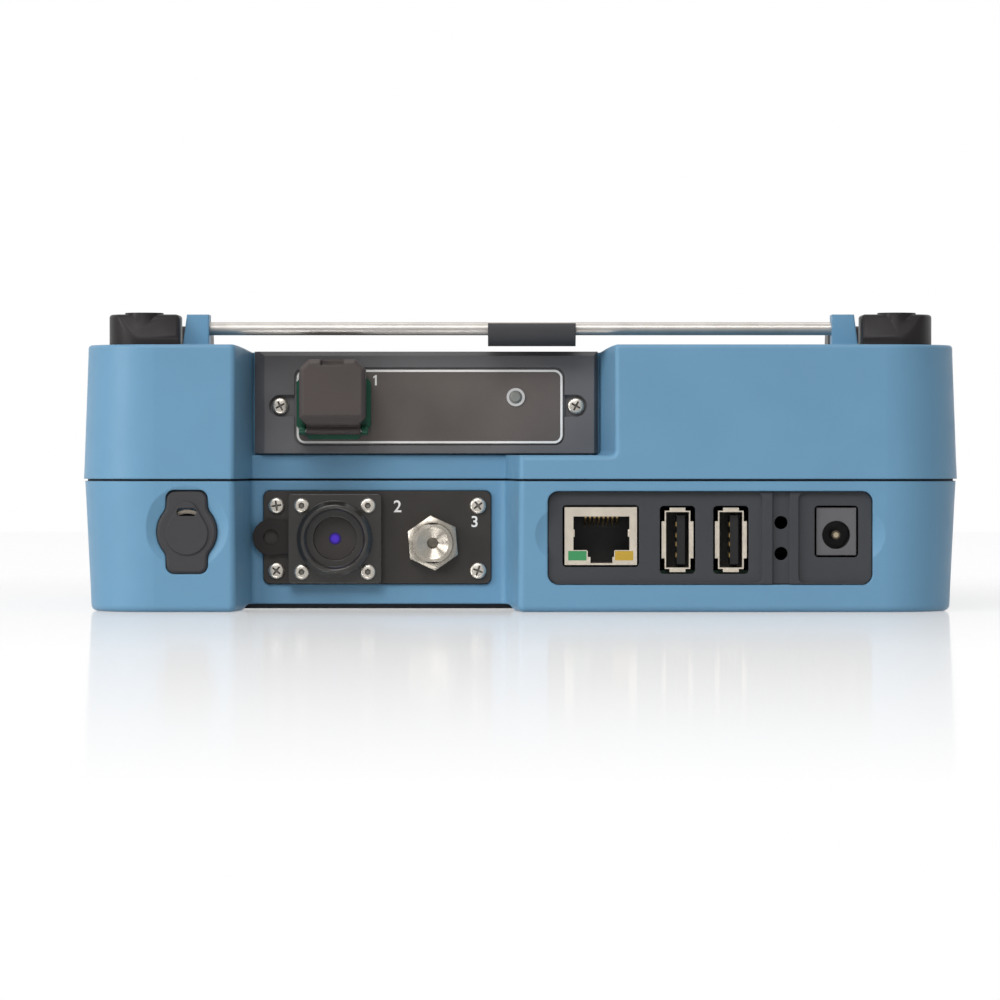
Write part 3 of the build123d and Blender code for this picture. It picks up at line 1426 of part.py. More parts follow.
# Main board on four standoffs, with a screening can
with BuildPart() as main_board:
    with BuildSketch(Plane.XY.offset(board_z)):
        with Locations((0, board_y)):
            Rectangle(board_width, board_length)
        with Locations(*board_points):
            Circle(board_screw_radius + running_fit, mode=Mode.SUBTRACT)
    extrude(amount=board_thickness)
    with Locations((screen_can_x, board_y, board_z + board_thickness)):
        Box(screen_can_width, screen_can_length, screen_can_height, align=UPWARD)
save(main_board, "main_board")

# Screws of the main board and of the board under the ports
with BuildPart() as board_screws:
    with Locations(*[(x, y, board_z + board_thickness) for x, y in board_points]):
        Cylinder(board_screw_head, board_screw_head_height, align=UPWARD)
        Cylinder(board_screw_radius, board_thickness + board_screw_bite, align=DOWNWARD)
    with Locations(*[(x, y, io_board_top) for x, y in io_points]):
        Cylinder(board_screw_head, board_screw_head_height, align=UPWARD)
        Cylinder(board_screw_radius, board_thickness + io_screw_bite, align=DOWNWARD)
save(board_screws, "board_screws")

# Battery pack under its door in the back
with BuildPart() as battery_pack:
    with BuildSketch(Plane.XY.offset(tray_z - back_wall - loose_gap)):
        with Locations((battery_x, battery_y)):
            RectangleRounded(battery_width, battery_length, battery_corner)
    extrude(amount=-battery_height)
save(battery_pack, "battery_pack")

with BuildPart() as battery_door:
    with BuildSketch(Plane.XY.offset(tray_z)):
        with Locations((door_x, battery_y)):
            RectangleRounded(door_width, door_length, door_corner - panel_gap)
        with Locations(*door_points):
            Circle(door_screw_radius + running_fit, mode=Mode.SUBTRACT)
    extrude(amount=-door_thickness)
save(battery_door, "battery_door")

door_screws = screw_set(Plane.XY.offset(tray_z), door_points, door_screw_head, door_screw_head_height,
                        door_screw_radius, door_screw_length)
save(door_screws, "door_screws")

# Measuring module behind its panel: a folded tray with a board, a laser block and a coil of fibre
with BuildPart() as module_housing:
    with BuildSketch(end_plane(module_wall_depth)):
        with Locations((housing_x, housing_z)):
            Rectangle(housing_width, housing_height)
    extrude(amount=-housing_length)
    with Locations((housing_x, end_y + module_wall_depth + housing_skin, housing_bottom + housing_skin)):
        inner_width = housing_width - 2 * housing_skin
        inner_length = housing_length - 2 * housing_skin
        inner_align = (Align.CENTER, Align.MIN, Align.MIN)
        Box(inner_width, inner_length, housing_height, align=inner_align, mode=Mode.SUBTRACT)
    with Locations(end_plane(module_wall_depth)):
        drill([(adapter_x, nozzle_z)], ferrule_radius + running_fit, 2 * housing_skin)
        drill(module_points, module_screw_radius + running_fit, module_screw_length)
save(module_housing, "module_housing")

floor_z = housing_bottom + housing_skin
middle_y = end_y + module_wall_depth + housing_length / 2
with BuildPart() as optics_board:
    with Locations((housing_x, middle_y, floor_z)):
        edge = 2 * (housing_skin + loose_gap)
        Box(housing_width - edge, housing_length - edge, board_thickness, align=UPWARD)
save(optics_board, "optics_board")

parts_z = floor_z + board_thickness
with BuildPart() as laser_block:
    with Locations((adapter_x, end_y + ferrule_front + ferrule_length + laser_gap, parts_z)):
        Box(laser_width, laser_length, laser_height, align=(Align.CENTER, Align.MIN, Align.MIN))
save(laser_block, "laser_block")

with BuildPart() as fibre_coil:
    with BuildSketch(Plane.XY.offset(parts_z)):
        with Locations((housing_x + coil_offset, middle_y)):
            Circle(coil_radius + coil_width / 2)
            Circle(coil_radius - coil_width / 2, mode=Mode.SUBTRACT)
    extrude(amount=coil_height)
save(fibre_coil, "fibre_coil")
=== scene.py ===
import math

import bmesh
import bpy
from mathutils import Matrix, Vector


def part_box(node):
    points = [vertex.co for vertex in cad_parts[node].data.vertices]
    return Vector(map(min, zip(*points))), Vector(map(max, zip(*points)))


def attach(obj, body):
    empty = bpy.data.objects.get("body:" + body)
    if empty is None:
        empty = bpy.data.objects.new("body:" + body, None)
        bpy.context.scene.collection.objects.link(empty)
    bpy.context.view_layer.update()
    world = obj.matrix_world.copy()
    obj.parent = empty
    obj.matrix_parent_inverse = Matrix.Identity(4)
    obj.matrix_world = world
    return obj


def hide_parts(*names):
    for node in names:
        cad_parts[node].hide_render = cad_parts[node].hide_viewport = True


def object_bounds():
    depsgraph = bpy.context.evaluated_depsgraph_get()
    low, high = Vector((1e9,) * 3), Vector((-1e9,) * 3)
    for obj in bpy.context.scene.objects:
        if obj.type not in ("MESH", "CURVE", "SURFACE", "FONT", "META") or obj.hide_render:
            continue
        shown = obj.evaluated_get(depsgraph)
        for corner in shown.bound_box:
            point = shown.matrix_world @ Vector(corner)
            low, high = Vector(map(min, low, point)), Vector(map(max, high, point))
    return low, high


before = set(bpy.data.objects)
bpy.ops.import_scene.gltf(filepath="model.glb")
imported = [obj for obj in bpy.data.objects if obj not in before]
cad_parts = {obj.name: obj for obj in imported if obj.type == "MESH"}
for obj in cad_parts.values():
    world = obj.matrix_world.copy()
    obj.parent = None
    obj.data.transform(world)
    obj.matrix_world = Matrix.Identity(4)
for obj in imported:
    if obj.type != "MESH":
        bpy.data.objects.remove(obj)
cad_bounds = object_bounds()
mm = 0.001

# Case halves and battery door
# Two shells and a door moulded in blue plastic with a fine eroded texture.
# Screws through the feet hold the halves together, and the door lies flush in the back.
case_blue = (0.145, 0.318, 0.482)
pattern_low = 0.3
pattern_high = 0.7
tone_patch = 18 * mm
gloss_patch = 6 * mm


def new_material(name, color, roughness, metallic=0.0):
    """A node material: its tree, its main shader and the piece's own coordinates."""
    material = bpy.data.materials.new(name)
    material.use_nodes = True
    tree = material.node_tree
    main = tree.nodes["Principled BSDF"]
    main.inputs["Base Color"].default_value = (*color, 1.0)
    main.inputs["Roughness"].default_value = roughness
    main.inputs["Metallic"].default_value = metallic
    place = tree.nodes.new("ShaderNodeTexCoord").outputs["Object"]
    return material, tree, main, place


def noise(tree, place, size, detail=2.0, stretch=(1.0, 1.0, 1.0)):
    """A cloudy pattern whose patches are about that size, in metres."""
    mapping = tree.nodes.new("ShaderNodeMapping")
    mapping.inputs["Scale"].default_value = stretch
    texture = tree.nodes.new("ShaderNodeTexNoise")
    texture.inputs["Scale"].default_value = 1.0 / size
    texture.inputs["Detail"].default_value = detail
    tree.links.new(place, mapping.inputs["Vector"])
    tree.links.new(mapping.outputs["Vector"], texture.inputs["Vector"])
    return texture.outputs["Fac"]


def tones(tree, main, pattern, color, spread):
    """Lets the colour drift a little darker and lighter with a pattern."""
    ramp = tree.nodes.new("ShaderNodeValToRGB")
    ramp.color_ramp.elements[0].position = pattern_low
    ramp.color_ramp.elements[1].position = pattern_high
    ramp.color_ramp.elements[0].color = (*[c * (1.0 - spread) for c in color], 1.0)
    ramp.color_ramp.elements[1].color = (*[min(1.0, c * (1.0 + spread)) for c in color], 1.0)
    tree.links.new(pattern, ramp.inputs["Fac"])
    tree.links.new(ramp.outputs["Color"], main.inputs["Base Color"])


def gloss(tree, main, pattern, low, high):
    """Lets the roughness drift between two values with a pattern."""
    span = tree.nodes.new("ShaderNodeMapRange")
    span.inputs["From Min"].default_value = pattern_low
    span.inputs["From Max"].default_value = pattern_high
    span.inputs["To Min"].default_value = low
    span.inputs["To Max"].default_value = high
    tree.links.new(pattern, span.inputs["Value"])
    tree.links.new(span.outputs["Result"], main.inputs["Roughness"])


def relief(tree, main, pattern, depth, edge=0.0):
    """Raises a pattern in the surface by about that depth, over edges softened by a radius."""
    bump = tree.nodes.new("ShaderNodeBump")
    bump.inputs["Strength"].default_value = 1.0
    bump.inputs["Distance"].default_value = depth
    tree.links.new(pattern, bump.inputs["Height"])
    if edge > 0.0:
        soft = tree.nodes.new("ShaderNodeBevel")
        soft.inputs["Radius"].default_value = edge
        tree.links.new(soft.outputs["Normal"], bump.inputs["Normal"])
    tree.links.new(bump.outputs["Normal"], main.inputs["Normal"])


def moulded(name, color, roughness, grain, depth, edge=0.0, spread=0.06, sheen=0.3):
    """Moulded plastic or rubber: an even colour with a fine eroded grain."""
    material, tree, main, place = new_material(name, color, roughness)
    main.inputs["Specular IOR Level"].default_value = sheen
    tones(tree, main, noise(tree, place, tone_patch, 3.0), color, spread)
    gloss(tree, main, noise(tree, place, gloss_patch), roughness * 0.9, roughness * 1.12)
    relief(tree, main, noise(tree, place, grain), depth, edge)
    return material


def dress(material, *nodes):
    """Gives solids of the frame their finish."""
    for node in nodes:
        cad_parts[node].material_slots[0].material = material


case_plastic = moulded("case_plastic", case_blue, roughness=0.42, grain=0.35 * mm, depth=0.01 * mm,
                       edge=0.6 * mm, spread=0.025, sheen=0.36)
dress(case_plastic, "front_case", "rear_case", "battery_door")

# Seal between the halves
# A soft black cord pressed between the two shells, seen as the dark line of the seam.
# It is laid in by hand before the halves are screwed together.
seal_rubber = moulded("seal_rubber", (0.02, 0.022, 0.026), roughness=0.7, grain=0.3 * mm, depth=0.01 * mm)
dress(seal_rubber, "case_gasket")

# Feet
# Four rubber pads with a sloped end, rounded edges and a round screw boss, moulded in near-black rubber.
# Each is clamped on its corner of the back by a case screw.
foot_rubber = moulded("foot_rubber", (0.012, 0.0093, 0.01), roughness=0.42, grain=0.25 * mm,
                      depth=0.01 * mm, sheen=0.25)
dress(foot_rubber, "leg_tip")
foot_edge = 0.7 * mm
boss_edge = 0.15 * mm
boss_radius = 4.6 * mm
same_point = 0.002 * mm
flat_bend = 1.0
slope_bend = 15.0
corner_bend = 50.0
rim_bend = 60.0
upright_share = 0.9


def solid_copy(node):
    """A joined copy of a node's mesh with its flat faces in one piece each."""
    bm = bmesh.new()
    bm.from_mesh(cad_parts[node].data)
    bmesh.ops.remove_doubles(bm, verts=bm.verts, dist=same_point)
    bmesh.ops.dissolve_limit(bm, angle_limit=math.radians(flat_bend), verts=bm.verts, edges=bm.edges)
    return bm


def round_edges(bm, edges, radius):
    """Rounds a set of edges over."""
    bmesh.ops.bevel(bm, geom=edges, offset=radius, segments=3, affect="EDGES", profile=0.5, material=-1)


def smooth(bm, angle=32.0):
    """Smooth shading that breaks at edges sharper than the angle."""
    for face in bm.faces:
        face.smooth = True
    for edge in bm.edges:
        edge.smooth = edge.is_manifold and edge.calc_face_angle(0.0) < math.radians(angle)


def piece(name, bm, material, body, slot, *nodes):
    """Turns a finished mesh into a piece on a body, standing for the nodes named."""
    smooth(bm)
    mesh = bpy.data.meshes.new(name)
    bm.to_mesh(mesh)
    bm.free()
    mesh.materials.append(material)
    made = bpy.data.objects.new(name, mesh)
    bpy.context.scene.collection.objects.link(made)
    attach(made, body)
    if nodes:
        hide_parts(*nodes)
    return made


def islands(node):
    """Lowest and highest corner of each separate solid in a node."""
    bm = bmesh.new()
    bm.from_mesh(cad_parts[node].data)
    bmesh.ops.remove_doubles(bm, verts=bm.verts, dist=same_point)
    left = set(bm.verts)
    boxes = []
    while left:
        front = [left.pop()]
        found = list(front)
        while front:
            near = {e.other_vert(v) for v in front for e in v.link_edges} & left
            left -= near
            found += near
            front = list(near)
        low = Vector([min(v.co[i] for v in found) for i in range(3)])
        high = Vector([max(v.co[i] for v in found) for i in range(3)])
        boxes.append((low, high))
    bm.free()
    return sorted(boxes, key=lambda b: tuple(b[0]))


def foot_edges(bm):
    """The feet's outward edges above the case: those of the pads, and those of the screw bosses."""
    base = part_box("corner_feet")[0].z
    bosses = [(low + high) / 2 for low, high in islands("case_screws")]
    pads = []
    rims = []
    for edge in bm.edges:
        if not edge.is_manifold or not edge.is_convex or min(v.co.z for v in edge.verts) < base + foot_edge:
            continue
        bend = math.degrees(edge.calc_face_angle(0.0))
        along = edge.verts[1].co - edge.verts[0].co
        upright_edge = abs(along.z) > upright_share * along.length
        middle = (edge.verts[0].co + edge.verts[1].co) / 2
        at_boss = any((middle - boss).xy.length < boss_radius for boss in bosses)
        if at_boss and bend > rim_bend and not upright_edge:
            rims.append(edge)
        elif not at_boss and (bend > corner_bend or (bend > slope_bend and not upright_edge)):
            pads.append(edge)
    return pads, rims


feet = solid_copy("corner_feet")
round_edges(feet, foot_edges(feet)[0], foot_edge)
round_edges(feet, foot_edges(feet)[1], boss_edge)
piece("rounded_feet", feet, foot_rubber, "case", "foot_rubber", "corner_feet")

# Screws
# Pan-head screws with a cross recess, plated bright, and small round heads with a hexagon socket.
# They are driven square to the face that they hold.
screw_color = (0.68, 0.63, 0.56)
metal_patch = 5 * mm


def plated(name, color, roughness, grain=0.4 * mm, stretch=(1.0, 1.0, 1.0), depth=0.003 * mm, edge=0.0):
    """Plated or bare metal with a faint brushed grain."""
    material, tree, main, place = new_material(name, color, roughness, 0.85)
    tones(tree, main, noise(tree, place, metal_patch, 3.0), color, 0.08)
    brushed = noise(tree, place, grain, 3.0, stretch)
    gloss(tree, main, brushed, roughness * 0.75, roughness * 1.3)
    relief(tree, main, brushed, depth, edge)
    return material


screw_steel = plated("screw_steel", screw_color, roughness=0.3)
# Painted shade: the walls and floor of each driver recess take a darker steel, for the shade in the hollow.
recess_painted_shade = plated("recess_painted_shade", (0.2, 0.185, 0.165), roughness=0.5)
end_face = Matrix.Rotation(math.radians(90), 4, "X")
upright = Matrix.Identity(4)
arm_taper = 0.7
head_dome = ((1.0, 0.45), (0.96, 0.68), (0.88, 0.88), (0.84, 0.98))
recess_taper = 0.7
recess_floor = 0.35


def grow_rim(bm, rim, radius_share, height):
    """Extrudes an open rim upwards to a height, scaled about its own axis."""
    grown = bmesh.ops.extrude_edge_only(bm, edges=rim)["geom"]
    verts = [g for g in grown if isinstance(g, bmesh.types.BMVert)]
    for vert in verts:
        vert.co.x *= radius_share
        vert.co.y *= radius_share
        vert.co.z = height
    return [g for g in grown if isinstance(g, bmesh.types.BMEdge) and all(v in verts for v in g.verts)]


def cross_recess(reach, half):
    """Corners of a driver's cross, each arm with a narrow end."""
    arm = [(half, half), (reach, half * arm_taper), (reach, -half * arm_taper)]
    turns = [Matrix.Rotation(math.radians(-90 * quarter), 2) for quarter in range(4)]
    return [turn @ Vector(corner) for turn in turns for corner in arm]


def hexagon_recess(reach):
    """Corners and mid-sides of a hexagon socket, clockwise as the cross is."""
    corners = [Matrix.Rotation(math.radians(-60 * side), 2) @ Vector((reach, 0.0)) for side in range(6)]
    return [p for side in range(6) for p in (corners[side], (corners[side] + corners[side - 5]) / 2)]


def screw_mesh(radius, height, shank, length, recess):
    """One screw at the origin, head up: a dome with a driver recess, on a plain shank."""
    bm = bmesh.new()
    bmesh.ops.create_circle(bm, segments=24, radius=radius)
    rim = bm.edges[:]
    under = grow_rim(bm, rim, shank / radius, 0.0)
    tip = grow_rim(bm, under, 1.0, -length)
    bmesh.ops.contextual_create(bm, geom=tip)
    for share, rise in head_dome:
        rim = grow_rim(bm, rim, share, height * rise)
    mouth = [bm.verts.new((p.x, p.y, height)) for p in recess]
    edges = [bm.edges.new((mouth[i - 1], mouth[i])) for i in range(len(mouth))]
    bmesh.ops.bridge_loops(bm, edges=rim + edges)
    head_faces = set(bm.faces)
    floor = grow_rim(bm, edges, recess_taper, height * recess_floor)
    bmesh.ops.contextual_create(bm, geom=floor)
    # The recess's walls and floor get the second material, which is painted shade.
    for face in set(bm.faces) - head_faces:
        face.material_index = 1
    bmesh.ops.recalc_face_normals(bm, faces=bm.faces)
    mesh = bpy.data.meshes.new("screw")
    bm.to_mesh(mesh)
    bm.free()
    return mesh


def drive_screws(name, node, facing, head, shank, recess, turns):
    """Replaces a node's plain screws by ones with a domed head, each turned as it was driven."""
    bm = bmesh.new()
    for number, (low, high) in enumerate(islands(node)):
        middle = (low + high) / 2
        size = high - low
        if facing is end_face:
            seat = Vector((middle.x, low.y + head[1], middle.z))
            length = size.y - head[1]
        else:
            seat = Vector((middle.x, middle.y, high.z - head[1]))
            length = size.z - head[1]
        mesh = screw_mesh(head[0], head[1], shank, length, recess)
        first = len(bm.verts)
        bm.from_mesh(mesh)
        bpy.data.meshes.remove(mesh)
        bm.verts.ensure_lookup_table()
        turn = Matrix.Rotation(math.radians(turns[number % len(turns)]), 4, "Z")
        bmesh.ops.transform(bm, matrix=Matrix.Translation(seat) @ facing @ turn, verts=bm.verts[first:])
    heads = piece(name, bm, screw_steel, "case", "screw_steel", node)
    # The second material paints shade into the driver recesses.
    heads.data.materials.append(recess_painted_shade)


small_cross = cross_recess(1.15 * mm, 0.24 * mm)
large_cross = cross_recess(1.7 * mm, 0.36 * mm)
small_hexagon = hexagon_recess(0.75 * mm)
screw_kinds = (
    ("module_screw", end_face, (2.0 * mm, 1.1 * mm), 1.0 * mm, small_cross, (28, 62)),
    ("meter_screw", end_face, (1.9 * mm, 0.9 * mm), 1.0 * mm, small_cross, (52, 8, 70, 35)),
    ("flange_screw", end_face, (1.8 * mm, 1.0 * mm), 0.8 * mm, small_hexagon, (12, 40, 25, 3)),
    ("case_screw", upright, (2.8 * mm, 2.0 * mm), 1.5 * mm, large_cross, (20, 75, 48, 5)),
    ("door_screw", upright, (1.9 * mm, 0.8 * mm), 1.0 * mm, small_cross, (33, 66)),
)
for kind, facing, head, shank, recess, turns in screw_kinds:
    drive_screws(kind + "_heads", kind + "s", facing, head, shank, recess, turns)
dress(screw_steel, "board_screws")

# Stand
# A ground steel rod seated in two lugs, and a moulded black leg whose open knuckle snaps over it.
# The leg lies in the back's tray and ends in a rubber shoe.
rod_steel = plated("rod_steel", (0.5, 0.47, 0.44), roughness=0.38, grain=2.0 * mm, stretch=(0.1, 1.0, 1.0),
                   depth=0.0004 * mm)
dress(rod_steel, "stand_rod", "cap_hinge_pin")
stand_plastic = moulded("stand_plastic", (0.052, 0.052, 0.056), roughness=0.5, grain=0.3 * mm,
                        depth=0.012 * mm, edge=0.4 * mm)
dress(stand_plastic, "stand_leg")

# Module panel
# A grey moulded front with a brown printed field inside a fine groove, a white outline and a number.
# Two screws in round sinks hold it to the case.
module_grey = moulded("module_grey", (0.138, 0.134, 0.138), roughness=0.48, grain=0.22 * mm,
                      depth=0.02 * mm, edge=0.3 * mm, spread=0.1)
dress(module_grey, "module_panel")
field_brown = moulded("field_brown", (0.124, 0.105, 0.097), roughness=0.52, grain=0.2 * mm, depth=0.03 * mm,
                      spread=0.12)
print_white = moulded("print_white", (0.9, 0.88, 0.85), roughness=0.5, grain=0.2 * mm, depth=0.004 * mm)
print_height = 0.03 * mm
print_weight = 0.05 * mm
print_point = 0.001 * mm
figure_share = 0.7


def rounded_figure(low, high, corner):
    """A flat rounded rectangle on the XY plane."""
    middle = (Vector(low) + Vector(high)) / 2
    size = Vector(high) - Vector(low)
    bm = bmesh.new()
    place = Matrix.Translation((*middle, 0.0)) @ Matrix.Diagonal((*size, 1.0, 1.0))
    bmesh.ops.create_grid(bm, x_segments=1, y_segments=1, size=0.5, matrix=place)
    bmesh.ops.bevel(bm, geom=bm.verts[:], offset=corner, segments=6, affect="VERTICES", profile=0.5,
                    material=-1)
    return bm


def lay_ink(name, bm, material, face_y, slot):
    """Thickens a flat figure on the XY plane and lays it on a face of the connector end."""
    solid = bmesh.ops.extrude_face_region(bm, geom=bm.faces[:])["geom"]
    raised = [g for g in solid if isinstance(g, bmesh.types.BMVert)]
    bmesh.ops.translate(bm, vec=(0, 0, print_height), verts=raised)
    bmesh.ops.recalc_face_normals(bm, faces=bm.faces)
    bmesh.ops.transform(bm, matrix=Matrix.Translation((0.0, face_y, 0.0)) @ end_face, verts=bm.verts)
    return piece(name, bm, material, "case", slot)


def printed_field(name, low, high, corner, material, face_y, slot):
    """A thin rounded field of paint."""
    return lay_ink(name, rounded_figure(low, high, corner), material, face_y, slot)


def printed_outline(name, low, high, corner, line, material, face_y, slot):
    """A thin rounded frame."""
    bm = rounded_figure(low, high, corner)
    rim = bmesh.ops.inset_region(bm, faces=bm.faces[:], thickness=line, use_even_offset=True,
                                 use_boundary=True)["faces"]
    bmesh.ops.delete(bm, geom=[face for face in bm.faces if face not in rim], context="FACES")
    return lay_ink(name, bm, material, face_y, slot)


def printed_number(name, number, height, corner, face_y, slot):
    """One plain figure of ink, its lower left corner at a place across and up the end."""
    words = bpy.data.curves.new(name, "FONT")
    words.body = number
    words.size = height / figure_share
    words.extrude = print_height
    words.offset = print_weight
    written = bpy.data.objects.new(name + "_text", words)
    flat = bpy.data.meshes.new_from_object(written)
    bpy.data.objects.remove(written)
    bm = bmesh.new()
    bm.from_mesh(flat)
    bpy.data.meshes.remove(flat)
    bmesh.ops.remove_doubles(bm, verts=bm.verts, dist=print_point)
    place = Matrix.Translation((corner[0], face_y, corner[1])) @ end_face
    bmesh.ops.transform(bm, matrix=place, verts=bm.verts)
    return piece(name, bm, print_white, "case", slot)


module_low, module_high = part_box("module_panel")
field_left = 9.6 * mm
field_right = 8.0 * mm
field_foot = 2.2 * mm
field_head = 4.1 * mm
field_low = Vector((module_low.x + field_left, module_low.z + field_foot))
field_high = Vector((module_high.x - field_right, module_high.z - field_head))
field_corner = 1.9 * mm
outline_line = 0.5 * mm
field_edge = Vector((0.1 * mm, 0.1 * mm))
ink_y = module_low.y - print_height
printed_field("module_field", field_low, field_high, field_corner, field_brown, module_low.y, "module_black")
printed_outline("module_outline", field_low + field_edge, field_high - field_edge, field_corner, outline_line,
                print_white, ink_y, "module_black")
one_figure = ((0.16, 0.0), (0.34, 0.0), (0.34, 1.0), (0.21, 1.0), (0.0, 0.84), (0.0, 0.66), (0.16, 0.78))
one_corner = Vector((-33.8 * mm, 51.6 * mm))
one_height = 2.4 * mm
one = bmesh.new()
one.faces.new([one.verts.new((*(one_corner + Vector(point) * one_height), 0.0)) for point in one_figure])
lay_ink("module_number", one, print_white, ink_y, "module_black")

# Lamp
# A moulded grey lens in a bright pressed ring.
# It is pushed into the panel from behind.
ring_chrome = plated("ring_chrome", (0.78, 0.78, 0.78), roughness=0.12)
dress(ring_chrome, "lamp_ring")
lens_grey = moulded("lens_grey", (0.24, 0.245, 0.225), roughness=0.18, grain=0.5 * mm, depth=0.006 * mm)
dress(lens_grey, "lamp_lens")

# Fibre port
# A green moulded collar with a metal sleeve and a white ceramic ferrule, under a black hinged cap.
# The collar is fixed on the panel, and the cap turns on a pin in its two ears.
collar_green = moulded("collar_green", (0.009, 0.088, 0.05), roughness=0.3, grain=0.4 * mm,
                       depth=0.006 * mm, edge=0.25 * mm)
dress(collar_green, "adapter_base")
sleeve_metal = plated("sleeve_metal", (0.6, 0.61, 0.62), roughness=0.35)
dress(sleeve_metal, "adapter_sleeve")
ceramic = moulded("ceramic", (0.85, 0.84, 0.8), roughness=0.12, grain=0.5 * mm, depth=0.002 * mm)
dress(ceramic, "adapter_ferrule")
cap_plastic = moulded("cap_plastic", (0.078, 0.064, 0.061), roughness=0.36, grain=0.25 * mm,
                      depth=0.01 * mm, edge=0.7 * mm, sheen=0.25)
dress(cap_plastic, "dust_cap")

# Meter panel
# A thin metal plate painted black, sunk in the recess wall and held by four screws.
# Two numbers stand beside its ports.
meter_paint = moulded("meter_paint", (0.04, 0.035, 0.031), roughness=0.42, grain=0.25 * mm,
                      depth=0.014 * mm, edge=0.2 * mm, spread=0.12)
dress(meter_paint, "meter_panel")
meter_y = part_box("meter_panel")[0].y
two_corner = (-29.2 * mm, 22.5 * mm)
two_height = 2.7 * mm
three_corner = (-11.4 * mm, 19.1 * mm)
three_height = 2.5 * mm
printed_number("meter_number", "2", two_height, two_corner, meter_y, "meter_black")
printed_number("fault_number", "3", three_height, three_corner, meter_y, "meter_black")

# Detector port
# A black anodised flange with a low barrel, over a black can with a small coated window.
# Four socket screws hold it on the meter panel, with a rubber tether tab under its edge.
detector_black = moulded("detector_black", (0.029, 0.026, 0.023), roughness=0.2, grain=0.3 * mm,
                         depth=0.002 * mm, edge=0.4 * mm, sheen=0.7)
dress(detector_black, "detector_flange")
can_black = moulded("can_black", (0.052, 0.046, 0.042), roughness=0.4, grain=0.3 * mm, depth=0.006 * mm)
dress(can_black, "detector_can")


def fade(tree, value, near, far, start, end):
    """Turns a distance into a share that runs evenly from one value to another."""
    span = tree.nodes.new("ShaderNodeMapRange")
    span.inputs["From Min"].default_value = near
    span.inputs["From Max"].default_value = far
    span.inputs["To Min"].default_value = start
    span.inputs["To Max"].default_value = end
    tree.links.new(value, span.inputs["Value"])
    return span.outputs["Result"]


core_violet = (0.13, 0.06, 0.8)
edge_violet = (0.03, 0.022, 0.1)
core_share = 0.4
window_radius = 1.4 * mm
window_violet, tree, main, place = new_material("window_violet", core_violet, 0.12, 0.9)
centred = tree.nodes.new("ShaderNodeMapping")
window_middle = sum(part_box("detector_window"), Vector()) / 2
centred.inputs["Location"].default_value = (-window_middle.x, 0.0, -window_middle.z)
centred.inputs["Scale"].default_value = (1.0, 0.0, 1.0)
tree.links.new(place, centred.inputs["Vector"])
coating = tree.nodes.new("ShaderNodeVectorMath")
coating.operation = "LENGTH"
tree.links.new(centred.outputs["Vector"], coating.inputs[0])
tint = tree.nodes.new("ShaderNodeValToRGB")
tint.color_ramp.elements[0].position = core_share
tint.color_ramp.elements[0].color = (*core_violet, 1.0)
tint.color_ramp.elements[1].color = (*edge_violet, 1.0)
tree.links.new(fade(tree, coating.outputs["Value"], 0.0, window_radius, 0.0, 1.0), tint.inputs["Fac"])
tree.links.new(tint.outputs["Color"], main.inputs["Base Color"])
dress(window_violet, "detector_window")
tab_rubber = moulded("tab_rubber", (0.034, 0.03, 0.028), roughness=0.62, grain=0.3 * mm, depth=0.01 * mm,
                     edge=0.3 * mm, sheen=0.15)
dress(tab_rubber, "tether_tab")

# Fault locator port
# A turned nickel-plated barrel with two flats, held by a hexagon nut.
# The turning leaves fine rings about its bore.
fault_steel = plated("fault_steel", (0.47, 0.43, 0.37), roughness=0.3, edge=0.2 * mm)
turning = fault_steel.node_tree.nodes.new("ShaderNodeTangent")
turning.direction_type = "RADIAL"
turning.axis = "Y"
turned = fault_steel.node_tree.nodes["Principled BSDF"]
turned.inputs["Anisotropic"].default_value = 0.85
turned.inputs["Anisotropic Rotation"].default_value = 0.25
fault_steel.node_tree.links.new(turning.outputs["Tangent"], turned.inputs["Tangent"])
dress(fault_steel, "fault_barrel")
nut_middle = sum(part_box("fault_nut"), Vector()) / 2
nut_angle = -10.0
nut_turn = Matrix.Rotation(math.radians(nut_angle), 3, "Y")
nut = solid_copy("fault_nut")
bmesh.ops.rotate(nut, cent=nut_middle, matrix=nut_turn, verts=nut.verts)
piece("tightened_nut", nut, fault_steel, "case", "fault_steel", "fault_nut")

# Port panel
# A dark grey moulded insert with two ribs and two holes for a cover's studs.
# It fills an opening in the wall of the front case.
port_plastic = moulded("port_plastic", (0.047, 0.05, 0.056), roughness=0.45, grain=0.28 * mm,
                       depth=0.014 * mm, edge=0.35 * mm)
dress(port_plastic, "port_panel")

# Network socket
# A folded tin-plated shell round a black moulded insert, with gold wires and two lamps.
# It is soldered on the board behind the panel.
tinned = plated("tinned", (0.7, 0.63, 0.53), roughness=0.4, grain=0.5 * mm)
dress(tinned, "lan_shell", "usb_shells", "probe_socket")
socket_black = moulded("socket_black", (0.016, 0.016, 0.017), roughness=0.4, grain=0.3 * mm,
                       depth=0.006 * mm)
dress(socket_black, "lan_insert", "usb_tongues")
gold = plated("gold", (0.55, 0.38, 0.15), roughness=0.3)
dress(gold, "lan_contacts", "usb_contacts")
lamp_green = moulded("lamp_green", (0.05, 0.3, 0.11), roughness=0.15, grain=0.6 * mm, depth=0.05 * mm,
                     sheen=0.5)
dress(lamp_green, "link_lamp_left")
lamp_yellow = moulded("lamp_yellow", (0.56, 0.36, 0.04), roughness=0.15, grain=0.6 * mm, depth=0.05 * mm,
                      sheen=0.5)
dress(lamp_yellow, "link_lamp_right")
frame_line = 0.18 * mm
frame_corner = 0.3 * mm
shell_low, shell_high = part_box("lan_shell")
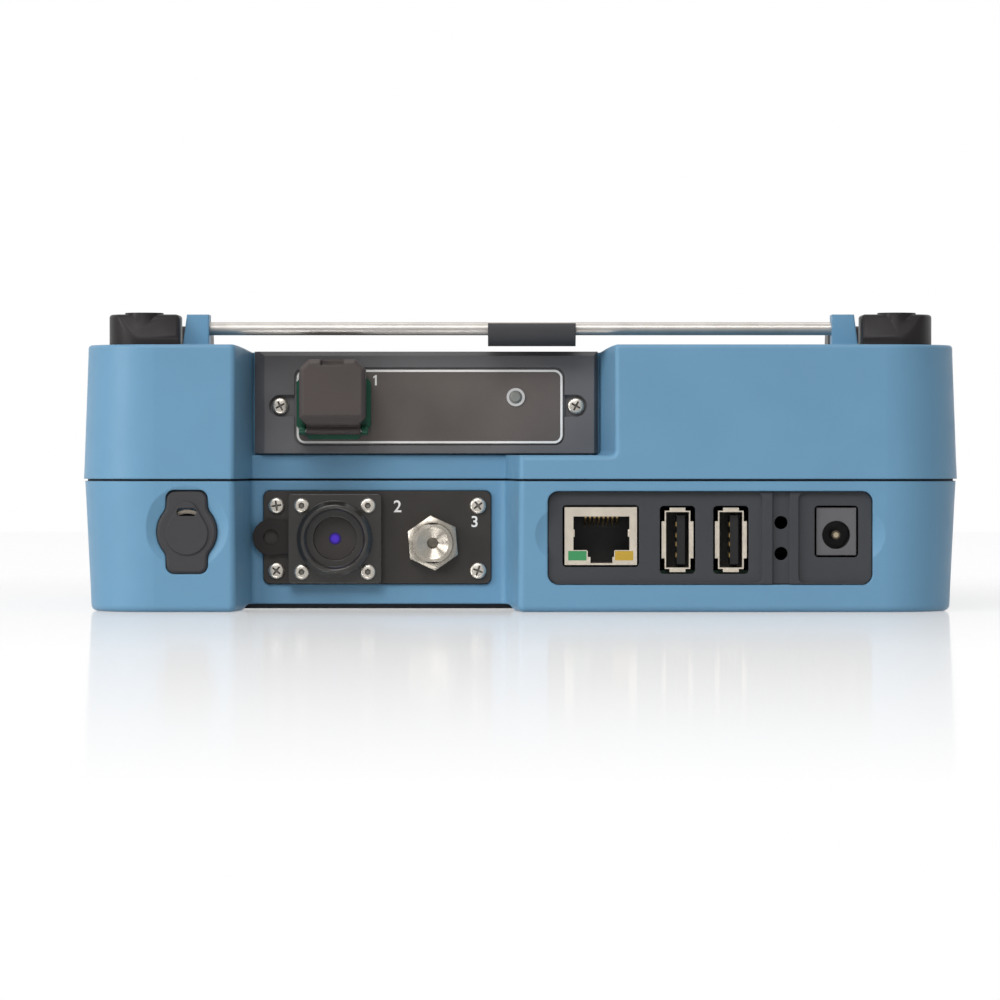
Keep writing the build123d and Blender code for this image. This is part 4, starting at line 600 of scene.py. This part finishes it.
for lamp_node in ("link_lamp_left", "link_lamp_right"):
    lamp_low, lamp_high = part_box(lamp_node)
    frame_low = (lamp_low.x - frame_line, lamp_low.z - frame_line)
    frame_high = (lamp_high.x + frame_line, lamp_high.z + frame_line)
    printed_outline(lamp_node + "_frame", frame_low, frame_high, frame_corner, frame_line, tinned,
                    shell_low.y, "socket_metal")
spring_size = Vector((0.4 * mm, 1.2 * mm, 1.7 * mm))
spring_left = 2.1 * mm
spring_right = 1.85 * mm
spring_drop = 5.9 * mm
spring_sink = 0.3 * mm
spring_edge = 0.12 * mm
springs = bmesh.new()
for side_x in (shell_low.x + spring_left, shell_high.x - spring_right):
    middle = Vector((side_x, shell_low.y + spring_size.y / 2 + spring_sink, shell_high.z - spring_drop))
    place = Matrix.Translation(middle) @ Matrix.Diagonal(spring_size).to_4x4()
    bmesh.ops.create_cube(springs, size=1.0, matrix=place)
bmesh.ops.bevel(springs, geom=springs.edges[:], offset=spring_edge, segments=2, affect="EDGES", profile=0.5,
                material=-1)
piece("side_springs", springs, tinned, "case", "socket_metal")

# Power inlet
# A grey moulded body round a bright centre pin.
# It is soldered on the same board.
inlet_plastic = moulded("inlet_plastic", (0.125, 0.121, 0.128), roughness=0.4, grain=0.3 * mm,
                        depth=0.008 * mm, edge=0.3 * mm)
dress(inlet_plastic, "power_inlet")
pin_metal = plated("pin_metal", (0.62, 0.52, 0.36), roughness=0.14)
dress(pin_metal, "inlet_pin")

# Probe port
# A soft rubber plug with a pull loop closes a round socket.
# It is pressed into a shaped opening in the front case.
plug_rubber = moulded("plug_rubber", (0.047, 0.045, 0.048), roughness=0.55, grain=0.3 * mm,
                      depth=0.012 * mm, edge=0.4 * mm)
dress(plug_rubber, "probe_plug")

# Display side
# A dark frame round a touch glass, with two rubber keys and a status light.
# The display is bonded behind the glass.
bezel_plastic = moulded("bezel_plastic", (0.045, 0.047, 0.052), roughness=0.45, grain=0.28 * mm,
                        depth=0.012 * mm, edge=0.2 * mm)
dress(bezel_plastic, "bezel_frame")
screen_glass = moulded("screen_glass", (0.012, 0.013, 0.016), roughness=0.06, grain=2.0 * mm,
                       depth=0.001 * mm)
dress(screen_glass, "touch_glass", "display_panel")
key_rubber = moulded("key_rubber", (0.19, 0.2, 0.21), roughness=0.55, grain=0.3 * mm, depth=0.012 * mm,
                     edge=0.3 * mm)
dress(key_rubber, "power_key", "home_key")
status_lens = moulded("status_lens", (0.7, 0.7, 0.68), roughness=0.2, grain=0.5 * mm, depth=0.004 * mm)
dress(status_lens, "status_light")

# Inside
# Boards, the battery, the laser and the measuring module, which show only when the case is open.
# They are screwed to posts in the front case or lie in the back.
board_green = moulded("board_green", (0.01, 0.06, 0.028), roughness=0.35, grain=0.6 * mm, depth=0.01 * mm)
dress(board_green, "io_board", "main_board", "key_board", "optics_board")
battery_black = moulded("battery_black", (0.035, 0.035, 0.038), roughness=0.5, grain=0.3 * mm,
                        depth=0.01 * mm)
dress(battery_black, "battery_pack")
housing_metal = plated("housing_metal", (0.58, 0.59, 0.6), roughness=0.35)
dress(housing_metal, "module_housing", "laser_block", "fault_laser")
fibre_yellow = moulded("fibre_yellow", (0.7, 0.48, 0.06), roughness=0.3, grain=0.4 * mm, depth=0.02 * mm)
dress(fibre_yellow, "fibre_coil")

# Stage
# A pale floor, a white surround, four broad soft lamps with the strongest high in front and at the left,
# and the camera of the photograph.
floor_size = 2.4
floor_gap = 0.05 * mm
floor_color = (0.92, 0.92, 0.92)
floor_share = 0.35
floor_shine = 0.42
floor_full = 0.1
floor_none = 0.34
shine_full = -0.083
shine_none = -0.75
front_shine = 0.45
front_heading = 0.2
even_light = 0.26


def combine(tree, operation, first, second):
    """Joins two values by one operation."""
    node = tree.nodes.new("ShaderNodeMath")
    node.operation = operation
    tree.links.new(first, node.inputs[0])
    tree.links.new(second, node.inputs[1])
    return node.outputs["Value"]


def white_surround():
    """White where it is seen, mirrored brightest from behind, and a weak even light on the object."""
    world = bpy.data.worlds.new("surround")
    world.use_nodes = True
    tree = world.node_tree
    surround = tree.nodes["Background"]
    surround.inputs["Color"].default_value = (1.0, 1.0, 1.0, 1.0)
    rays = tree.nodes.new("ShaderNodeLightPath")
    heading = tree.nodes.new("ShaderNodeSeparateXYZ")
    tree.links.new(tree.nodes.new("ShaderNodeTexCoord").outputs["Generated"], heading.inputs["Vector"])
    seen = combine(tree, "MAXIMUM", rays.outputs["Is Camera Ray"], rays.outputs["Is Transmission Ray"])
    behind = fade(tree, heading.outputs["Y"], -front_heading, front_heading, front_shine, 1.0)
    mirrored = combine(tree, "MULTIPLY", rays.outputs["Is Glossy Ray"], behind)
    level = combine(tree, "MAXIMUM", seen, mirrored)
    tree.links.new(fade(tree, level, 0.0, 1.0, even_light, 1.0), surround.inputs["Strength"])
    bpy.context.scene.world = world


def pale_floor():
    """A polished white sheet with a soft shadow and a faint reflection, clear from below."""
    bm = bmesh.new()
    under_object = Matrix.Translation((0.0, 0.0, -floor_gap))
    bmesh.ops.create_grid(bm, x_segments=1, y_segments=1, size=floor_size / 2, matrix=under_object)
    mesh = bpy.data.meshes.new("floor")
    bm.to_mesh(mesh)
    bm.free()
    material, tree, main, place = new_material("floor_white", floor_color, 0.6)
    main.inputs["Specular IOR Level"].default_value = 0.0
    tones(tree, main, noise(tree, place, 0.4), floor_color, 0.01)
    mirror = tree.nodes.new("ShaderNodeBsdfGlossy")
    mirror.inputs["Color"].default_value = (1.0, 1.0, 1.0, 1.0)
    mirror.inputs["Roughness"].default_value = 0.08
    clear = tree.nodes.new("ShaderNodeBsdfTransparent")
    parts = tree.nodes.new("ShaderNodeSeparateXYZ")
    tree.links.new(place, parts.inputs["Vector"])
    reach = tree.nodes.new("ShaderNodeVectorMath")
    reach.operation = "LENGTH"
    tree.links.new(place, reach.inputs[0])
    sheet = tree.nodes.new("ShaderNodeMixShader")
    thinning = fade(tree, reach.outputs["Value"], floor_full, floor_none, floor_share, 0.0)
    tree.links.new(thinning, sheet.inputs["Fac"])
    tree.links.new(clear.outputs["BSDF"], sheet.inputs[1])
    tree.links.new(main.outputs["BSDF"], sheet.inputs[2])
    shine = tree.nodes.new("ShaderNodeMixShader")
    dulling = fade(tree, parts.outputs["Y"], shine_none, shine_full, 0.0, floor_shine)
    tree.links.new(dulling, shine.inputs["Fac"])
    tree.links.new(sheet.outputs["Shader"], shine.inputs[1])
    tree.links.new(mirror.outputs["BSDF"], shine.inputs[2])
    one_way = tree.nodes.new("ShaderNodeMixShader")
    tree.links.new(tree.nodes.new("ShaderNodeNewGeometry").outputs["Backfacing"], one_way.inputs["Fac"])
    tree.links.new(shine.outputs["Shader"], one_way.inputs[1])
    tree.links.new(clear.outputs["BSDF"], one_way.inputs[2])
    output = tree.nodes["Material Output"]
    tree.links.new(one_way.outputs["Shader"], output.inputs["Surface"])
    mesh.materials.append(material)
    floor = bpy.data.objects.new("floor", mesh)
    bpy.context.scene.collection.objects.link(floor)


def soft_lamp(name, size, place, target, power):
    """A square softbox that points at a place on the object."""
    light = bpy.data.lights.new(name, "AREA")
    light.shape = "SQUARE"
    light.size = size
    light.energy = power
    lamp = bpy.data.objects.new(name, light)
    lamp.location = place
    lamp.rotation_euler = (Vector(target) - Vector(place)).to_track_quat("-Z", "Y").to_euler()
    bpy.context.scene.collection.objects.link(lamp)


white_surround()
pale_floor()
end_middle = (0.0, -0.05, 0.03)
back_middle = (0.0, 0.0, 0.03)
soft_lamp("lamp_front", 0.8, (-0.3, -1.35, 1.1), end_middle, 12.3)
soft_lamp("lamp_left", 0.7, (-1.3, -0.8, 0.5), end_middle, 10.6)
soft_lamp("lamp_right", 0.8, (1.2, -1.1, 0.4), end_middle, 0.6)
soft_lamp("lamp_above", 0.8, (0.0, 0.1, 1.1), back_middle, 2.0)

image_width = 1000
pixels_per_mm = 4.42
centre_pixel = (520.5, 612.5)
camera_distance = 1.3
camera_side = -2.4 * mm
camera_height = 36.8 * mm
sensor = 36.0
end_y = cad_bounds[0][1]
view = bpy.data.cameras.new("view")
view.sensor_width = sensor
view.lens = pixels_per_mm / mm * camera_distance * sensor / image_width
camera = bpy.data.objects.new("view", view)
camera.location = (camera_side, end_y - camera_distance, camera_height)
aim_x = (image_width / 2 - centre_pixel[0]) / pixels_per_mm * mm
aim_z = (centre_pixel[1] - image_width / 2) / pixels_per_mm * mm
aim = Vector((aim_x, end_y, aim_z)) - camera.location
camera.rotation_euler = aim.to_track_quat("-Z", "Y").to_euler()
bpy.context.scene.collection.objects.link(camera)
bpy.context.scene.camera = camera
bpy.context.scene.view_settings.view_transform = "Standard"
